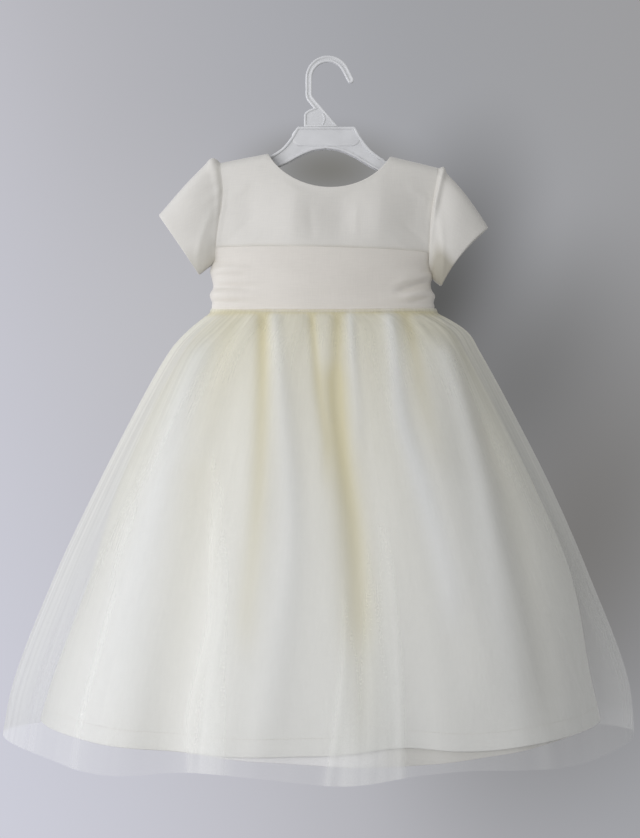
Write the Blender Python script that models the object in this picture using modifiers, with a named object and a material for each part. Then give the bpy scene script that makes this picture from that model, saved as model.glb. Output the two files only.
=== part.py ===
"""Flower girl dress for a two-year-old, hanging on its child's hanger.

Run with blender --background --python part.py, or from Blender's text editor.

Metres, +Z up. The origin is the inside top of the hanger's hook, where a rail or a hook holds it.
The dress faces -Y. Left and right are as seen from the front, so left is -X.

Every cloth piece is a thin wall. Its surface is worked out from the tables below: half a closed
section at each height, front or back, reached by a place across s, from -1 at the left side seam
to 1 at the right one, and a height z. Pieces that lie on others use the same points, moved out.
"""

import math
from collections import namedtuple

import bmesh
import bpy
from mathutils import Matrix, Vector

# Driving heights
SHOULDER_Z = -0.1000
SASH_TOP_Z = -0.2015
UNDERARM_Z = -0.2145
WAIST_Z = -0.2635
SATIN_HEM_Z = -0.6930
TULLE_HEM_Z = -0.7080

# Cloth thicknesses, and the spaces between pieces
SATIN = 0.0015
SKIRT_SATIN = 0.0012
TULLE = 0.0010
SEAM = 0.0006
ARMHOLE_SEAM = 0.0014
LAYER_STEP = SATIN + SEAM
FRONT, BACK = -1, 1

# Each section is a rounded lens: depth = (1 - |s|**WIDTH_POWER) ** (1 / DEPTH_POWER)
WIDTH_POWER = 2.2
DEPTH_POWER = 1.65

# The grids that cloth pieces are made on: how many cells, or the shares of the way along
NECK_ANGLES = (0, 7, 24, 46, 68)
SHOULDER_COLUMNS = (1.0, 0.996, 0.975, 0.92, 0.82, 0.69)
BODICE_ROW_SHARES = (0.28, 0.52, 0.72, 0.86, 0.94, 0.98, 0.995, 1.0)
SASH_ROW_CELLS = 8
PLACKET_CELLS = 5
SLEEVE_SHARES = (0.0, 0.05, 0.13, 0.34, 0.66, 1.0)
SLEEVE_AROUND = 28
SKIRT_ROW_SHARES = (0.05, 0.14, 0.32, 0.54, 0.77, 1.0)
UNDERSKIRT_CELLS = {FRONT: 28, BACK: 20}
TULLE_CELLS = {FRONT: 32, BACK: 24}

# Bodice: edges and depths at each height, and its openings
Level = namedtuple("Level", "z left right front back")
TORSO = (
    Level(z=WAIST_Z, left=-0.1205, right=0.1105, front=0.0400, back=0.0320),
    Level(z=-0.2380, left=-0.1195, right=0.1065, front=0.0415, back=0.0330),
    Level(z=UNDERARM_Z, left=-0.1195, right=0.1055, front=0.0415, back=0.0330),
    Level(z=-0.1790, left=-0.1155, right=0.1070, front=0.0380, back=0.0310),
    Level(z=-0.1430, left=-0.1105, right=0.1110, front=0.0320, back=0.0270),
    Level(z=-0.1080, left=-0.1140, right=0.1160, front=0.0270, back=0.0220),
)
NECK_CENTRE_X = -0.0015
NECK_HALF_WIDTH = 0.0650
NECK_DROP = {FRONT: 0.0380, BACK: 0.0325}
NECK_ROUNDNESS = 0.96
SHOULDER_HALF_WIDTH = 0.1150
SHOULDER_SLOPE = 0.206
SHOULDER_TIP_Z = SHOULDER_Z - SHOULDER_SLOPE * (SHOULDER_HALF_WIDTH - NECK_HALF_WIDTH)
SHOULDER_ROUND = 0.0120
ARMHOLE_DEPTH = {FRONT: 0.0165, BACK: 0.0145}
ARMHOLE_ROUND = 0.0300
HANGING_TILT = 0.022
WAIST_SAG = 0.0035
WAIST_SAG_REACH = 0.030

# Sash: drawn in at the side seams, where it lies in soft folds
SASH_SIDE_DIP = 0.0255
SASH_DIP_FROM = 0.92
SASH_FOLDS_FROM = 0.45
SASH_FOLDS_FULL = 0.85
SashFold = namedtuple("SashFold", "z height depth rise")
SASH_FOLDS = (
    SashFold(z=-0.2270, height=0.0060, depth=0.0024, rise=-0.006),
    SashFold(z=-0.2400, height=0.0055, depth=0.0030, rise=-0.009),
    SashFold(z=-0.2530, height=0.0050, depth=0.0022, rise=0.004),
)
PLACKET_HALF_WIDTH = 0.0100
PLACKET_BELOW_NECK = 0.0010

# Sleeves: cuff corners in x and z, how far the cuff bows in and the crown swells out
# Cap is how far the sleeve's head stands out and up, in x and z, just past the armhole.
Sleeve = namedtuple("Sleeve", "name side cuff_top cuff_bottom bow crown cap")
SLEEVES = (
    Sleeve(
        "sleeve_left", -1, (-0.1780, -0.1620), (-0.1360, -0.2240), 0.0005, 0.0010, (-0.003, 0.0094)
    ),
    Sleeve(
        "sleeve_right", 1, (0.1685, -0.1750), (0.1190, -0.2360), 0.0045, 0.0068, (0.0, 0.0012)
    ),
)
CAP_AT = 0.13
CROWN_BELOW = 0.4
CUFF_DEPTH = {FRONT: 0.0190, BACK: 0.0210}
CUFF_BACK_LONGER = 0.0040
CUFF_ROUNDNESS = 0.9
SLEEVE_PUFF = 0.0050

# Satin underskirt and tulle overskirt
SKIRT_TOP_Z = WAIST_Z - SEAM
SKIRT_STRAIGHT = 0.0020
FOLD_WIDTH_AT_WAIST = 0.30
FOLD_GROWTH = 0.8
FOLD_FULL_DEPTH = 0.030
SATIN_SKIRT = (
    Level(z=SATIN_HEM_Z, left=-0.3030, right=0.2870, front=0.1800, back=0.0680),
    Level(z=-0.6500, left=-0.2900, right=0.2770, front=0.1720, back=0.0665),
    Level(z=-0.5410, left=-0.2500, right=0.2560, front=0.1430, back=0.0620),
    Level(z=-0.4500, left=-0.2220, right=0.2180, front=0.1150, back=0.0570),
    Level(z=-0.3600, left=-0.1830, right=0.1730, front=0.0850, back=0.0500),
    Level(z=-0.3060, left=-0.1520, right=0.1440, front=0.0650, back=0.0440),
    Level(z=-0.2850, left=-0.1380, right=0.1300, front=0.0550, back=0.0390),
    Level(z=SKIRT_TOP_Z, left=-0.1205, right=0.1105, front=0.0400, back=0.0320),
)
TULLE_SKIRT = (
    Level(z=-0.7200, left=-0.3455, right=0.3240, front=0.2140, back=0.0910),
    Level(z=-0.6500, left=-0.3310, right=0.3165, front=0.1980, back=0.0850),
    Level(z=-0.5410, left=-0.2880, right=0.2755, front=0.1640, back=0.0760),
    Level(z=-0.4500, left=-0.2450, right=0.2360, front=0.1330, back=0.0680),
    Level(z=-0.3600, left=-0.1985, right=0.1900, front=0.1000, back=0.0600),
    Level(z=-0.3060, left=-0.1670, right=0.1600, front=0.0770, back=0.0520),
    Level(z=-0.2850, left=-0.1480, right=0.1460, front=0.0640, back=0.0460),
    Level(z=SKIRT_TOP_Z, left=-0.1226, right=0.1126, front=0.0421, back=0.0341),
)

# Skirt folds: where each runs at the waist and at the hem, its half width and depth at the hem.
# A positive depth is a ridge, a negative one a trough.
Fold = namedtuple("Fold", "x_waist x_hem half_width depth")
SKIRT_FOLDS = {
    FRONT: (
        Fold(x_waist=-0.104, x_hem=-0.208, half_width=0.040, depth=0.004),
        Fold(x_waist=-0.088, x_hem=-0.150, half_width=0.030, depth=-0.004),
        Fold(x_waist=-0.060, x_hem=-0.088, half_width=0.036, depth=0.006),
        Fold(x_waist=-0.020, x_hem=-0.020, half_width=0.040, depth=-0.004),
        Fold(x_waist=0.014, x_hem=0.068, half_width=0.034, depth=-0.007),
        Fold(x_waist=0.048, x_hem=0.118, half_width=0.026, depth=0.002),
        Fold(x_waist=0.074, x_hem=0.165, half_width=0.030, depth=0.004),
        Fold(x_waist=0.098, x_hem=0.212, half_width=0.034, depth=-0.003),
    ),
    BACK: (
        Fold(x_waist=-0.090, x_hem=-0.210, half_width=0.038, depth=0.008),
        Fold(x_waist=-0.062, x_hem=-0.135, half_width=0.030, depth=-0.010),
        Fold(x_waist=-0.030, x_hem=-0.062, half_width=0.030, depth=0.009),
        Fold(x_waist=0.004, x_hem=0.014, half_width=0.034, depth=-0.009),
        Fold(x_waist=0.034, x_hem=0.092, half_width=0.034, depth=0.010),
        Fold(x_waist=0.070, x_hem=0.165, half_width=0.030, depth=-0.008),
        Fold(x_waist=0.092, x_hem=0.222, half_width=0.030, depth=0.008),
    ),
}
TULLE_HEM_WAVES = 9
TULLE_HEM_WAVE = 0.0050
TULLE_HEM_PHASE = 1.0
FRONT_HEM_LIFT = 0.0060
FRONT_HEM_LIFT_AT = 0.26
FRONT_HEM_LIFT_SPREAD = 0.16
LINING_INSET = 0.0040
LINING_DROP = 0.0120
LINING_DROP_AT = 0.22
LINING_DROP_SPREAD = 0.42

# Buttons
BUTTON_RADIUS = 0.0050
BUTTON_HEIGHT = 0.0046
BUTTON_PITCH = 0.0200
BUTTONS_ON_EACH = 3
BODICE_BUTTON_TOP_Z = -0.1430
SASH_BUTTON_TOP_Z = -0.2120

# Hanger: a plate and arms of one outline, half of it given, and a hook bent from a flat strip
HANGER_THICKNESS = 0.0090
HANGER_CENTRE_X = -0.0020
HangerStation = namedtuple("HangerStation", "out top bottom")
HANGER = (
    HangerStation(out=0.0000, top=-0.0690, bottom=-0.0920),
    HangerStation(out=0.0150, top=-0.0690, bottom=-0.0945),
    HangerStation(out=0.0300, top=-0.0692, bottom=-0.1010),
    HangerStation(out=0.0365, top=-0.0795, bottom=-0.1048),
    HangerStation(out=0.0460, top=-0.0915, bottom=-0.1100),
    HangerStation(out=0.0570, top=-0.0998, bottom=-0.1150),
    HangerStation(out=0.0640, top=-0.1032, bottom=-0.1170),
    HangerStation(out=0.0720, top=-0.1056, bottom=-0.1190),
    HangerStation(out=0.0900, top=-0.1090, bottom=-0.1220),
    HangerStation(out=0.1040, top=-0.1122, bottom=-0.1245),
)
PLATE_LEVEL = 0.0300
ARM_END_ROUND = 0.0040
HOOK_THICKNESS = 0.0050
HOOK_STRIP = 0.0068
HOOK_INNER_RADIUS = 0.0170
HOOK_OPEN_ANGLE = math.radians(27)
HOOK_FREE_LENGTH = 0.0125
HOOK_STRAIGHT = 0.0165
HOOK_BEND_RADIUS = 0.0100
HOOK_LEAN = math.radians(40.5)
HOOK_FOOT_Z = -0.0687
HOOK_END_STEPS = 6
EAR_LEFT_X = -0.0254
EAR_TOP_Z = -0.0510
EAR_CORNER_WIDTH = 0.0045
EAR_CORNER_HEIGHT = 0.0055
EAR_RISE = 0.0024


def column_at(levels, column, z):
    """The named column of a table at height z, on a smooth curve through its rows."""
    rows = sorted(levels, key=lambda row: row.z)
    heights = [row.z for row in rows]
    values = [getattr(row, column) for row in rows]
    z = min(max(z, heights[0]), heights[-1])
    last = len(rows) - 1
    i = min(max(sum(height <= z for height in heights) - 1, 0), last - 1)

    def slope(k):
        low, high = max(k - 1, 0), min(k + 1, last)
        return (values[high] - values[low]) / (heights[high] - heights[low])

    span = heights[i + 1] - heights[i]
    t = (z - heights[i]) / span
    return (
        values[i] * (1 + 2 * t) * (1 - t) ** 2
        + values[i + 1] * t * t * (3 - 2 * t)
        + span * slope(i) * t * (1 - t) ** 2
        + span * slope(i + 1) * t * t * (t - 1)
    )


def ease(t):
    """A smooth step from 0 to 1."""
    t = min(max(t, 0.0), 1.0)
    return t * t * (3 - 2 * t)


def quarter_round(distance, radius):
    """Rises from 0 at an edge to 1 at the given distance from it, as a quarter circle does."""
    return math.sqrt(max(0.0, 1 - (1 - min(max(distance / radius, 0.0), 1.0)) ** 2))


def lens(s, depth_power=DEPTH_POWER):
    """Depth of a rounded lens section at s, as a share of its depth in the middle."""
    return max(0.0, 1 - abs(s) ** WIDTH_POWER) ** (1 / depth_power)


def shoulder_z(x):
    """Height of the shoulder line over x, before the dress tilts on its hanger."""
    out = abs(x - NECK_CENTRE_X) - NECK_HALF_WIDTH
    return SHOULDER_Z - SHOULDER_SLOPE * max(0.0, out)


def top_z(s, side):
    """Height where the bodice ends at s: its shoulder seam or its neckline."""
    x = NECK_CENTRE_X + s * SHOULDER_HALF_WIDTH
    across = abs(x - NECK_CENTRE_X) / NECK_HALF_WIDTH
    if across >= 1:
        return shoulder_z(x)
    flat = math.sqrt(1 - NECK_ROUNDNESS**2)
    share = (math.sqrt(1 - (NECK_ROUNDNESS * across) ** 2) - flat) / (1 - flat)
    return SHOULDER_Z - NECK_DROP[side] * share


def armhole_depth(z, side, seam_z=SHOULDER_TIP_Z):
    """How far the armhole's edge stands in front of or behind the shoulder seam, at seam_z."""
    lower = quarter_round(z - UNDERARM_Z, ARMHOLE_ROUND)
    upper = quarter_round(seam_z - z, SHOULDER_ROUND)
    return ARMHOLE_DEPTH[side] * lower * upper


def hung(point):
    """The dress hangs a little lower at its right shoulder."""
    share = ease((point.z - WAIST_Z) / (UNDERARM_Z - WAIST_Z))
    return Vector((point.x, point.y, point.z - HANGING_TILT * point.x * share))


def sag(side, s, z):
    """How far the dress's front hangs down at its waist, over its gathered skirts."""
    if side == BACK:
        return 0.0
    return WAIST_SAG * (1 - s * s) * math.exp(-(((z - WAIST_Z) / WAIST_SAG_REACH) ** 2))


def torso(side):
    """The bodice's surface, front or back, as a function of s and z."""
    depth_column = "front" if side == FRONT else "back"

    def at(s, z):
        left, right = (column_at(TORSO, edge, z) for edge in ("left", "right"))
        x = left + (right - left) * (s + 1) / 2
        above = ease((z - UNDERARM_Z) / (SASH_TOP_Z - UNDERARM_Z))
        section = lens(s, DEPTH_POWER + (1 - DEPTH_POWER) * above)
        seam_z = shoulder_z(NECK_CENTRE_X + s * SHOULDER_HALF_WIDTH)
        edge = armhole_depth(z, side, seam_z) if z > UNDERARM_Z else 0.0
        shoulder = quarter_round(seam_z - z, SHOULDER_ROUND)
        middle = column_at(TORSO, depth_column, z)
        depth = edge + (middle * shoulder - edge) * section
        return hung(Vector((x, side * (max(depth, 0.0) + SEAM / 2), z - sag(side, s, z))))

    return at


def skirt(levels, side):
    """A skirt's surface, front or back, as a function of s and z."""
    depth_column = "front" if side == FRONT else "back"
    hem_z = min(row.z for row in levels)

    def at(s, z):
        z_shape = min(z, SKIRT_TOP_Z - SKIRT_STRAIGHT)
        left, right = (column_at(levels, edge, z_shape) for edge in ("left", "right"))
        x = left + (right - left) * (s + 1) / 2
        depth = column_at(levels, depth_column, z_shape) * lens(s)
        down = (SKIRT_TOP_Z - z_shape) / (SKIRT_TOP_Z - hem_z)
        swell = 0.0
        for fold in SKIRT_FOLDS[side]:
            fold_x = fold.x_waist + (fold.x_hem - fold.x_waist) * down
            width = fold.half_width * (FOLD_WIDTH_AT_WAIST + (1 - FOLD_WIDTH_AT_WAIST) * down)
            swell += fold.depth * math.exp(-(((x - fold_x) / width) ** 2))
        depth += swell * down**FOLD_GROWTH * (1 - abs(s) ** 8) * ease(depth / FOLD_FULL_DEPTH)
        return Vector((x, side * (depth + SEAM / 2), z - sag(side, s, z)))

    return at


def moved_out(surface, side, distance):
    """The surface moved along its outward normal, for what lies on it or inside it."""
    step = 0.002

    def at(s, z):
        across = surface(min(s + step, 1.0), z) - surface(max(s - step, -1.0), z)
        up = surface(s, z + step) - surface(s, z - step)
        normal = across.cross(up).normalized() * -side
        return surface(s, z) + normal * distance

    return at


def sashed(side):
    """The sash's surface: the bodice's, moved out, with soft folds near the side seams."""
    lining_surface = moved_out(torso(side), side, LAYER_STEP)

    def at(s, z):
        near_side = ease((abs(s) - SASH_FOLDS_FROM) / (SASH_FOLDS_FULL - SASH_FOLDS_FROM))
        swell = 0.0
        for fold in SASH_FOLDS:
            fold_z = fold.z + fold.rise * (1 - abs(s))
            swell += fold.depth * math.exp(-(((z - fold_z) / fold.height) ** 2))
        return moved_out(lining_surface, side, swell * near_side * (1 - abs(s) ** 12))(s, z)

    return at


def material(name, colour, roughness, alpha=1.0):
    """A plain material for a piece's finish."""
    made = bpy.data.materials.new(name)
    made.use_nodes = True
    shader = made.node_tree.nodes["Principled BSDF"]
    shader.inputs["Base Color"].default_value = (*colour, 1.0)
    shader.inputs["Roughness"].default_value = roughness
    shader.inputs["Metallic"].default_value = 0.0
    shader.inputs["Alpha"].default_value = alpha
    return made


def placed(name, data, collection, finish):
    """An object of the given mesh or curve, in the dress's collection."""
    made = bpy.data.objects.new(name, data)
    made.data.materials.append(finish)
    collection.objects.link(made)
    return made


def cloth(name, grid, thickness, collection, finish, closed=False):
    """A cloth piece: an open grid of points, row by row, given its thickness."""
    across = len(grid[0])
    cells = across if closed else across - 1
    faces = [
        (j * across + i, j * across + (i + 1) % across,
         (j + 1) * across + (i + 1) % across, (j + 1) * across + i)
        for j in range(len(grid) - 1)
        for i in range(cells)
    ]
    mesh = bpy.data.meshes.new(name)
    mesh.from_pydata([point for row in grid for point in row], [], faces)
    mesh.shade_smooth()
    made = placed(name, mesh, collection, finish)
    wall = made.modifiers.new("Cloth thickness", "SOLIDIFY")
    wall.thickness = thickness
    wall.offset = 0.0
    wall.use_quality_normals = True
    return made


def bodice_columns():
    """Places across the bodice: close together at the side seams and round the neck."""
    neck = NECK_HALF_WIDTH / SHOULDER_HALF_WIDTH
    half = list(SHOULDER_COLUMNS)
    half += [neck * math.cos(math.radians(angle)) for angle in NECK_ANGLES]
    return [-s for s in half] + [0.0] + half[::-1]


def skirt_columns(cells):
    """Places across a skirt panel, closer together at its side seams."""
    return [-math.cos(math.pi * i / cells) for i in range(cells + 1)]


def half_of(columns, side):
    """The columns on one side of the centre back, which they meet at a seam."""
    gap = SEAM / 2 / SHOULDER_HALF_WIDTH
    if side < 0:
        return [s for s in columns if s < -gap] + [-gap]
    return [gap] + [s for s in columns if s > gap]


def bodice_rows(s, side):
    """Heights of the bodice's points at s, from the waist to the shoulder or the neck."""
    rise = top_z(s, side) - SASH_TOP_Z
    lower = [WAIST_Z, (WAIST_Z + UNDERARM_Z) / 2, UNDERARM_Z, SASH_TOP_Z]
    return lower + [SASH_TOP_Z + rise * share for share in BODICE_ROW_SHARES]


def sash_rows(s):
    """Heights of the sash's points at s: its top edge dips under the arms."""
    dip = SASH_SIDE_DIP * ease((abs(s) - SASH_DIP_FROM) / (1 - SASH_DIP_FROM))
    top = SASH_TOP_Z - dip
    return [WAIST_Z + (top - WAIST_Z) * i / SASH_ROW_CELLS for i in range(SASH_ROW_CELLS + 1)]


def spread(columns, rows_at, surface):
    """The grid of a surface's points over the columns, row by row."""
    by_column = [[surface(s, z) for z in rows_at(s)] for s in columns]
    return [list(row) for row in zip(*by_column)]


def build_bodice(collection, satin):
    columns = bodice_columns()
    pieces = (
        ("bodice_front", FRONT, columns),
        ("bodice_back_left", BACK, half_of(columns, -1)),
        ("bodice_back_right", BACK, half_of(columns, 1)),
    )
    for name, side, across in pieces:
        grid = spread(across, lambda s: bodice_rows(s, side), torso(side))
        cloth(name, grid, SATIN, collection, satin)


def build_sash(collection, satin):
    columns = bodice_columns()
    pieces = (
        ("sash_front", FRONT, columns),
        ("sash_back_left", BACK, half_of(columns, -1)),
        ("sash_back_right", BACK, half_of(columns, 1)),
    )
    for name, side, across in pieces:
        cloth(name, spread(across, sash_rows, sashed(side)), SATIN, collection, satin)


def build_closure(collection, satin, button_finish):
    """The two strips over the centre back opening, and their fastened buttons."""
    half = PLACKET_HALF_WIDTH / SHOULDER_HALF_WIDTH
    across = [-half, -half / 2, 0.0, half / 2, half]
    over_bodice = moved_out(torso(BACK), BACK, LAYER_STEP)
    over_sash = moved_out(sashed(BACK), BACK, LAYER_STEP)
    sash_gap = SEAM + SATIN / 2
    neck = top_z(0.0, BACK) - PLACKET_BELOW_NECK
    strips = (
        ("bodice", over_bodice, neck, SASH_TOP_Z + sash_gap, BODICE_BUTTON_TOP_Z),
        ("sash", over_sash, SASH_TOP_Z, WAIST_Z, SASH_BUTTON_TOP_Z),
    )
    for name, surface, top, bottom, button_z in strips:
        rise = (top - bottom) / PLACKET_CELLS
        heights = [bottom + rise * i for i in range(PLACKET_CELLS + 1)]
        grid = spread(across, lambda s: heights, surface)
        cloth(f"{name}_placket", grid, SATIN, collection, satin)
        seat = moved_out(surface, BACK, SATIN / 2 + SEAM + BUTTON_HEIGHT / 2)
        for number in range(BUTTONS_ON_EACH):
            place = seat(0.0, button_z - number * BUTTON_PITCH)
            button(f"{name}_button_{number + 1}", place, collection, button_finish)


def button(name, place, collection, finish):
    """A covered button: a flattened dome, its face to the back."""
    mesh = bpy.data.meshes.new(name)
    shape = bmesh.new()
    bmesh.ops.create_uvsphere(shape, u_segments=12, v_segments=6, radius=1.0)
    bmesh.ops.transform(
        shape,
        matrix=Matrix.Rotation(math.pi / 2, 4, "X")
        @ Matrix.Diagonal((BUTTON_RADIUS, BUTTON_RADIUS, BUTTON_HEIGHT / 2, 1.0)),
        verts=shape.verts,
    )
    shape.to_mesh(mesh)
    shape.free()
    mesh.shade_smooth()
    placed(name, mesh, collection, finish).location = place


def sleeve_point(sleeve, t, angle):
    """A point of a sleeve, from the armhole at t = 0 to the cuff at t = 1.

    The angle goes round from the shoulder, at 0, by the front to the underarm.
    """
    side = FRONT if angle <= math.pi else BACK
    gap = ARMHOLE_SEAM / 2
    tip_z = SHOULDER_TIP_Z - gap
    low_z = UNDERARM_Z + gap
    z = (tip_z + low_z) / 2 + (tip_z - low_z) / 2 * math.cos(angle)
    edge = column_at(TORSO, "left" if sleeve.side < 0 else "right", z)
    armhole = hung(
        Vector((edge + sleeve.side * ARMHOLE_SEAM, side * armhole_depth(z, side), z))
    )
    top = Vector((sleeve.cuff_top[0], 0.0, sleeve.cuff_top[1]))
    bottom = Vector((sleeve.cuff_bottom[0], 0.0, sleeve.cuff_bottom[1]))
    along = (bottom - top).normalized()
    outward = Vector((along.z, 0.0, -along.x)) * -sleeve.side
    round_share = math.sin(angle) ** 2
    cuff = (top + bottom) / 2 + (top - bottom) / 2 * math.cos(angle)
    cuff.y = side * CUFF_DEPTH[side] * abs(math.sin(angle)) ** CUFF_ROUNDNESS
    cuff -= outward * sleeve.bow * round_share
    if side == BACK:
        cuff += outward * CUFF_BACK_LONGER * abs(math.sin(angle))
    upper, lower = max(0.0, math.cos(angle)), max(0.0, -math.cos(angle))
    crown = (upper - CROWN_BELOW * lower) * sleeve.crown
    swell = math.sin(math.pi * t) * Vector((0.0, -math.sin(angle) * SLEEVE_PUFF, crown))
    head = math.sin(math.pi / 2 * min(t / CAP_AT, 1.0)) * min(1.0, (1 - t) / (1 - CAP_AT))
    cap = Vector((sleeve.cap[0], 0.0, sleeve.cap[1])) * head * upper * upper
    return armhole.lerp(cuff, t) + swell + cap


def build_sleeves(collection, satin):
    angles = [2 * math.pi * i / SLEEVE_AROUND for i in range(SLEEVE_AROUND)]
    for sleeve in SLEEVES:
        grid = [[sleeve_point(sleeve, t, angle) for angle in angles] for t in SLEEVE_SHARES]
        cloth(sleeve.name, grid, SATIN, collection, satin, closed=True)


def skirt_rows(bottom):
    """Heights of a skirt's points, closer together just below the waist."""
    start = SKIRT_TOP_Z - SKIRT_STRAIGHT
    return [SKIRT_TOP_Z, start] + [
        start + (bottom - start) * share for share in SKIRT_ROW_SHARES
    ]


def build_skirts(collection, satin, tulle):
    columns = skirt_columns(UNDERSKIRT_CELLS[FRONT])
    satin_front, satin_back = (skirt(SATIN_SKIRT, side) for side in (FRONT, BACK))

    def front_rows(s):
        near = math.exp(-(((s - FRONT_HEM_LIFT_AT) / FRONT_HEM_LIFT_SPREAD) ** 2))
        return skirt_rows(SATIN_HEM_Z + FRONT_HEM_LIFT * near)

    def back_rows(s):
        return skirt_rows(SATIN_HEM_Z)

    def lining_rows(s):
        near = math.exp(-(((s - LINING_DROP_AT) / LINING_DROP_SPREAD) ** 2))
        return skirt_rows(SATIN_HEM_Z - LINING_DROP * near)

    def tulle_rows(s):
        wave = math.sin(TULLE_HEM_WAVES * s + TULLE_HEM_PHASE) * (1 - abs(s) ** 4)
        return skirt_rows(TULLE_HEM_Z - TULLE_HEM_WAVE * wave)

    def piece(name, across, rows_at, surface, thickness, finish):
        cloth(name, spread(across, rows_at, surface), thickness, collection, finish)

    piece("underskirt_front", columns, front_rows, satin_front, SKIRT_SATIN, satin)
    for name, side in (("underskirt_back_left", -1), ("underskirt_back_right", 1)):
        across = half_of(skirt_columns(UNDERSKIRT_CELLS[BACK]), side)
        piece(name, across, back_rows, satin_back, SKIRT_SATIN, satin)
    lining = moved_out(satin_front, FRONT, -LINING_INSET)
    lining_columns = columns[1:-1]
    piece("lining_front", lining_columns, lining_rows, lining, SKIRT_SATIN, satin)
    for name, side in (("tulle_front", FRONT), ("tulle_back", BACK)):
        across = skirt_columns(TULLE_CELLS[side])
        piece(name, across, tulle_rows, skirt(TULLE_SKIRT, side), TULLE, tulle)


def flat_piece(name, outline, thickness, collection, finish):
    """A moulded plate: a closed outline in x and z, extruded along Y."""
    curve = bpy.data.curves.new(name, "CURVE")
    curve.dimensions = "2D"
    curve.fill_mode = "BOTH"
    curve.extrude = thickness / 2
    spline = curve.splines.new("POLY")
    spline.points.add(len(outline) - 1)
    for point, (x, z) in zip(spline.points, outline):
        point.co = (x, z, 0.0, 1.0)
    spline.use_cyclic_u = True
    made = placed(name, curve, collection, finish)
    made.rotation_euler = (math.pi / 2, 0.0, 0.0)
    return made


def arc(centre, radius, start, end, steps):
    """Points along a circular arc, its two ends included."""
    angles = (start + (end - start) * i / steps for i in range(steps + 1))
    return [
        (centre[0] + radius * math.cos(a), centre[1] + radius * math.sin(a)) for a in angles
    ]


def build_hanger_body(collection, plastic):
    """The hanger's plate and arms: its half outline, given at stations, on both sides."""
    upper = [(row.out, row.top) for row in HANGER]
    lower = [(row.out, row.bottom) for row in HANGER][::-1]
    end = HANGER[-1]
    tip = (end.out, end.bottom + ARM_END_ROUND)
    shoulder = (end.out, end.top - ARM_END_ROUND)
    half = (
        upper
        + arc(shoulder, ARM_END_ROUND, math.radians(60), 0.0, 3)
        + arc(tip, ARM_END_ROUND, 0.0, math.radians(-60), 3)
        + lower
    )
    both = half + [(-out, z) for out, z in half[::-1][1:-1]]
    outline = [
        (HANGER_CENTRE_X + out, z - HANGING_TILT * out * ease(abs(out) / PLATE_LEVEL - 1))
        for out, z in both
    ]
    flat_piece("hanger_body", outline, HANGER_THICKNESS, collection, plastic)


def build_hanger_hook(collection, plastic):
    """The hook: a flat strip round a rail, down and across to the plate, with a webbed ear."""
    inner, outer = HOOK_INNER_RADIUS, HOOK_INNER_RADIUS + HOOK_STRIP
    middle = (inner + outer) / 2
    centre = (0.0, -inner)
    bend_centre = (HOOK_BEND_RADIUS - middle, centre[1] - HOOK_STRAIGHT)
    near = HOOK_BEND_RADIUS - HOOK_STRIP / 2
    far = HOOK_BEND_RADIUS + HOOK_STRIP / 2
    turned = math.pi + HOOK_LEAN
    foot_slope = math.tan(HOOK_LEAN)

    def foot(point):
        return (point[0] + (point[1] - HOOK_FOOT_Z) * foot_slope, HOOK_FOOT_Z)

    free_x, free_z = math.cos(HOOK_OPEN_ANGLE), math.sin(HOOK_OPEN_ANGLE)
    free_run = (HOOK_FREE_LENGTH * free_z, -HOOK_FREE_LENGTH * free_x)

    def free_end_at(radius):
        return (radius * free_x + free_run[0], centre[1] + radius * free_z + free_run[1])

    outer_side = [free_end_at(outer)] + arc(centre, outer, HOOK_OPEN_ANGLE, math.pi, 14) + arc(
        bend_centre, far, math.pi, turned, 4
    )
    inner_side = [free_end_at(inner)] + arc(centre, inner, HOOK_OPEN_ANGLE, math.pi, 12) + arc(
        bend_centre, near, math.pi, turned, 3
    )
    ear_joins_z = EAR_TOP_Z + EAR_RISE
    ear_top = (foot(outer_side[-1])[0] + (HOOK_FOOT_Z - ear_joins_z) * foot_slope, ear_joins_z)
    ear = [
        ear_top,
        (EAR_LEFT_X + EAR_CORNER_WIDTH, EAR_TOP_Z),
        (EAR_LEFT_X, EAR_TOP_Z - EAR_CORNER_HEIGHT),
        (EAR_LEFT_X, HOOK_FOOT_Z),
    ]
    free_end = arc(
        free_end_at(middle), HOOK_STRIP / 2, HOOK_OPEN_ANGLE - math.pi, HOOK_OPEN_ANGLE, HOOK_END_STEPS
    )
    outline = outer_side + ear + [foot(inner_side[-1])] + inner_side[::-1] + free_end[1:-1]
    flat_piece("hanger_hook", outline, HOOK_THICKNESS, collection, plastic)


def main():
    for made in list(bpy.data.objects):
        bpy.data.objects.remove(made, do_unlink=True)
    collection = bpy.data.collections.new("flower_girl_dress")
    bpy.context.scene.collection.children.link(collection)
    satin = material("Ivory satin", (0.84, 0.80, 0.74), 0.42)
    sash_satin = material("Ivory sash satin", (0.82, 0.76, 0.70), 0.40)
    tulle = material("Ivory tulle", (0.86, 0.86, 0.80), 0.80, alpha=0.5)
    plastic = material("White hanger plastic", (0.78, 0.80, 0.82), 0.35)
    build_hanger_body(collection, plastic)
    build_hanger_hook(collection, plastic)
    build_bodice(collection, satin)
    build_sash(collection, sash_satin)
    build_closure(collection, satin, sash_satin)
    build_sleeves(collection, satin)
    build_skirts(collection, satin, tulle)


main()
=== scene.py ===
"""Looks of a flower girl dress on its child's hanger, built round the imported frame.

Metres, +Z up. The dress faces -Y, and left is -X. Each cloth piece is a fine thin shell on the form
of its plain solid, with its turned edges, gathers and creases, and the hanger is a ribbed moulding.
"""

import logging
import math
from collections.abc import Iterable
from dataclasses import dataclass, field, replace
from enum import Enum
from typing import Any

import bmesh
import bpy
import numpy as np
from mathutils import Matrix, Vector
from mathutils.geometry import tessellate_polygon


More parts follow.
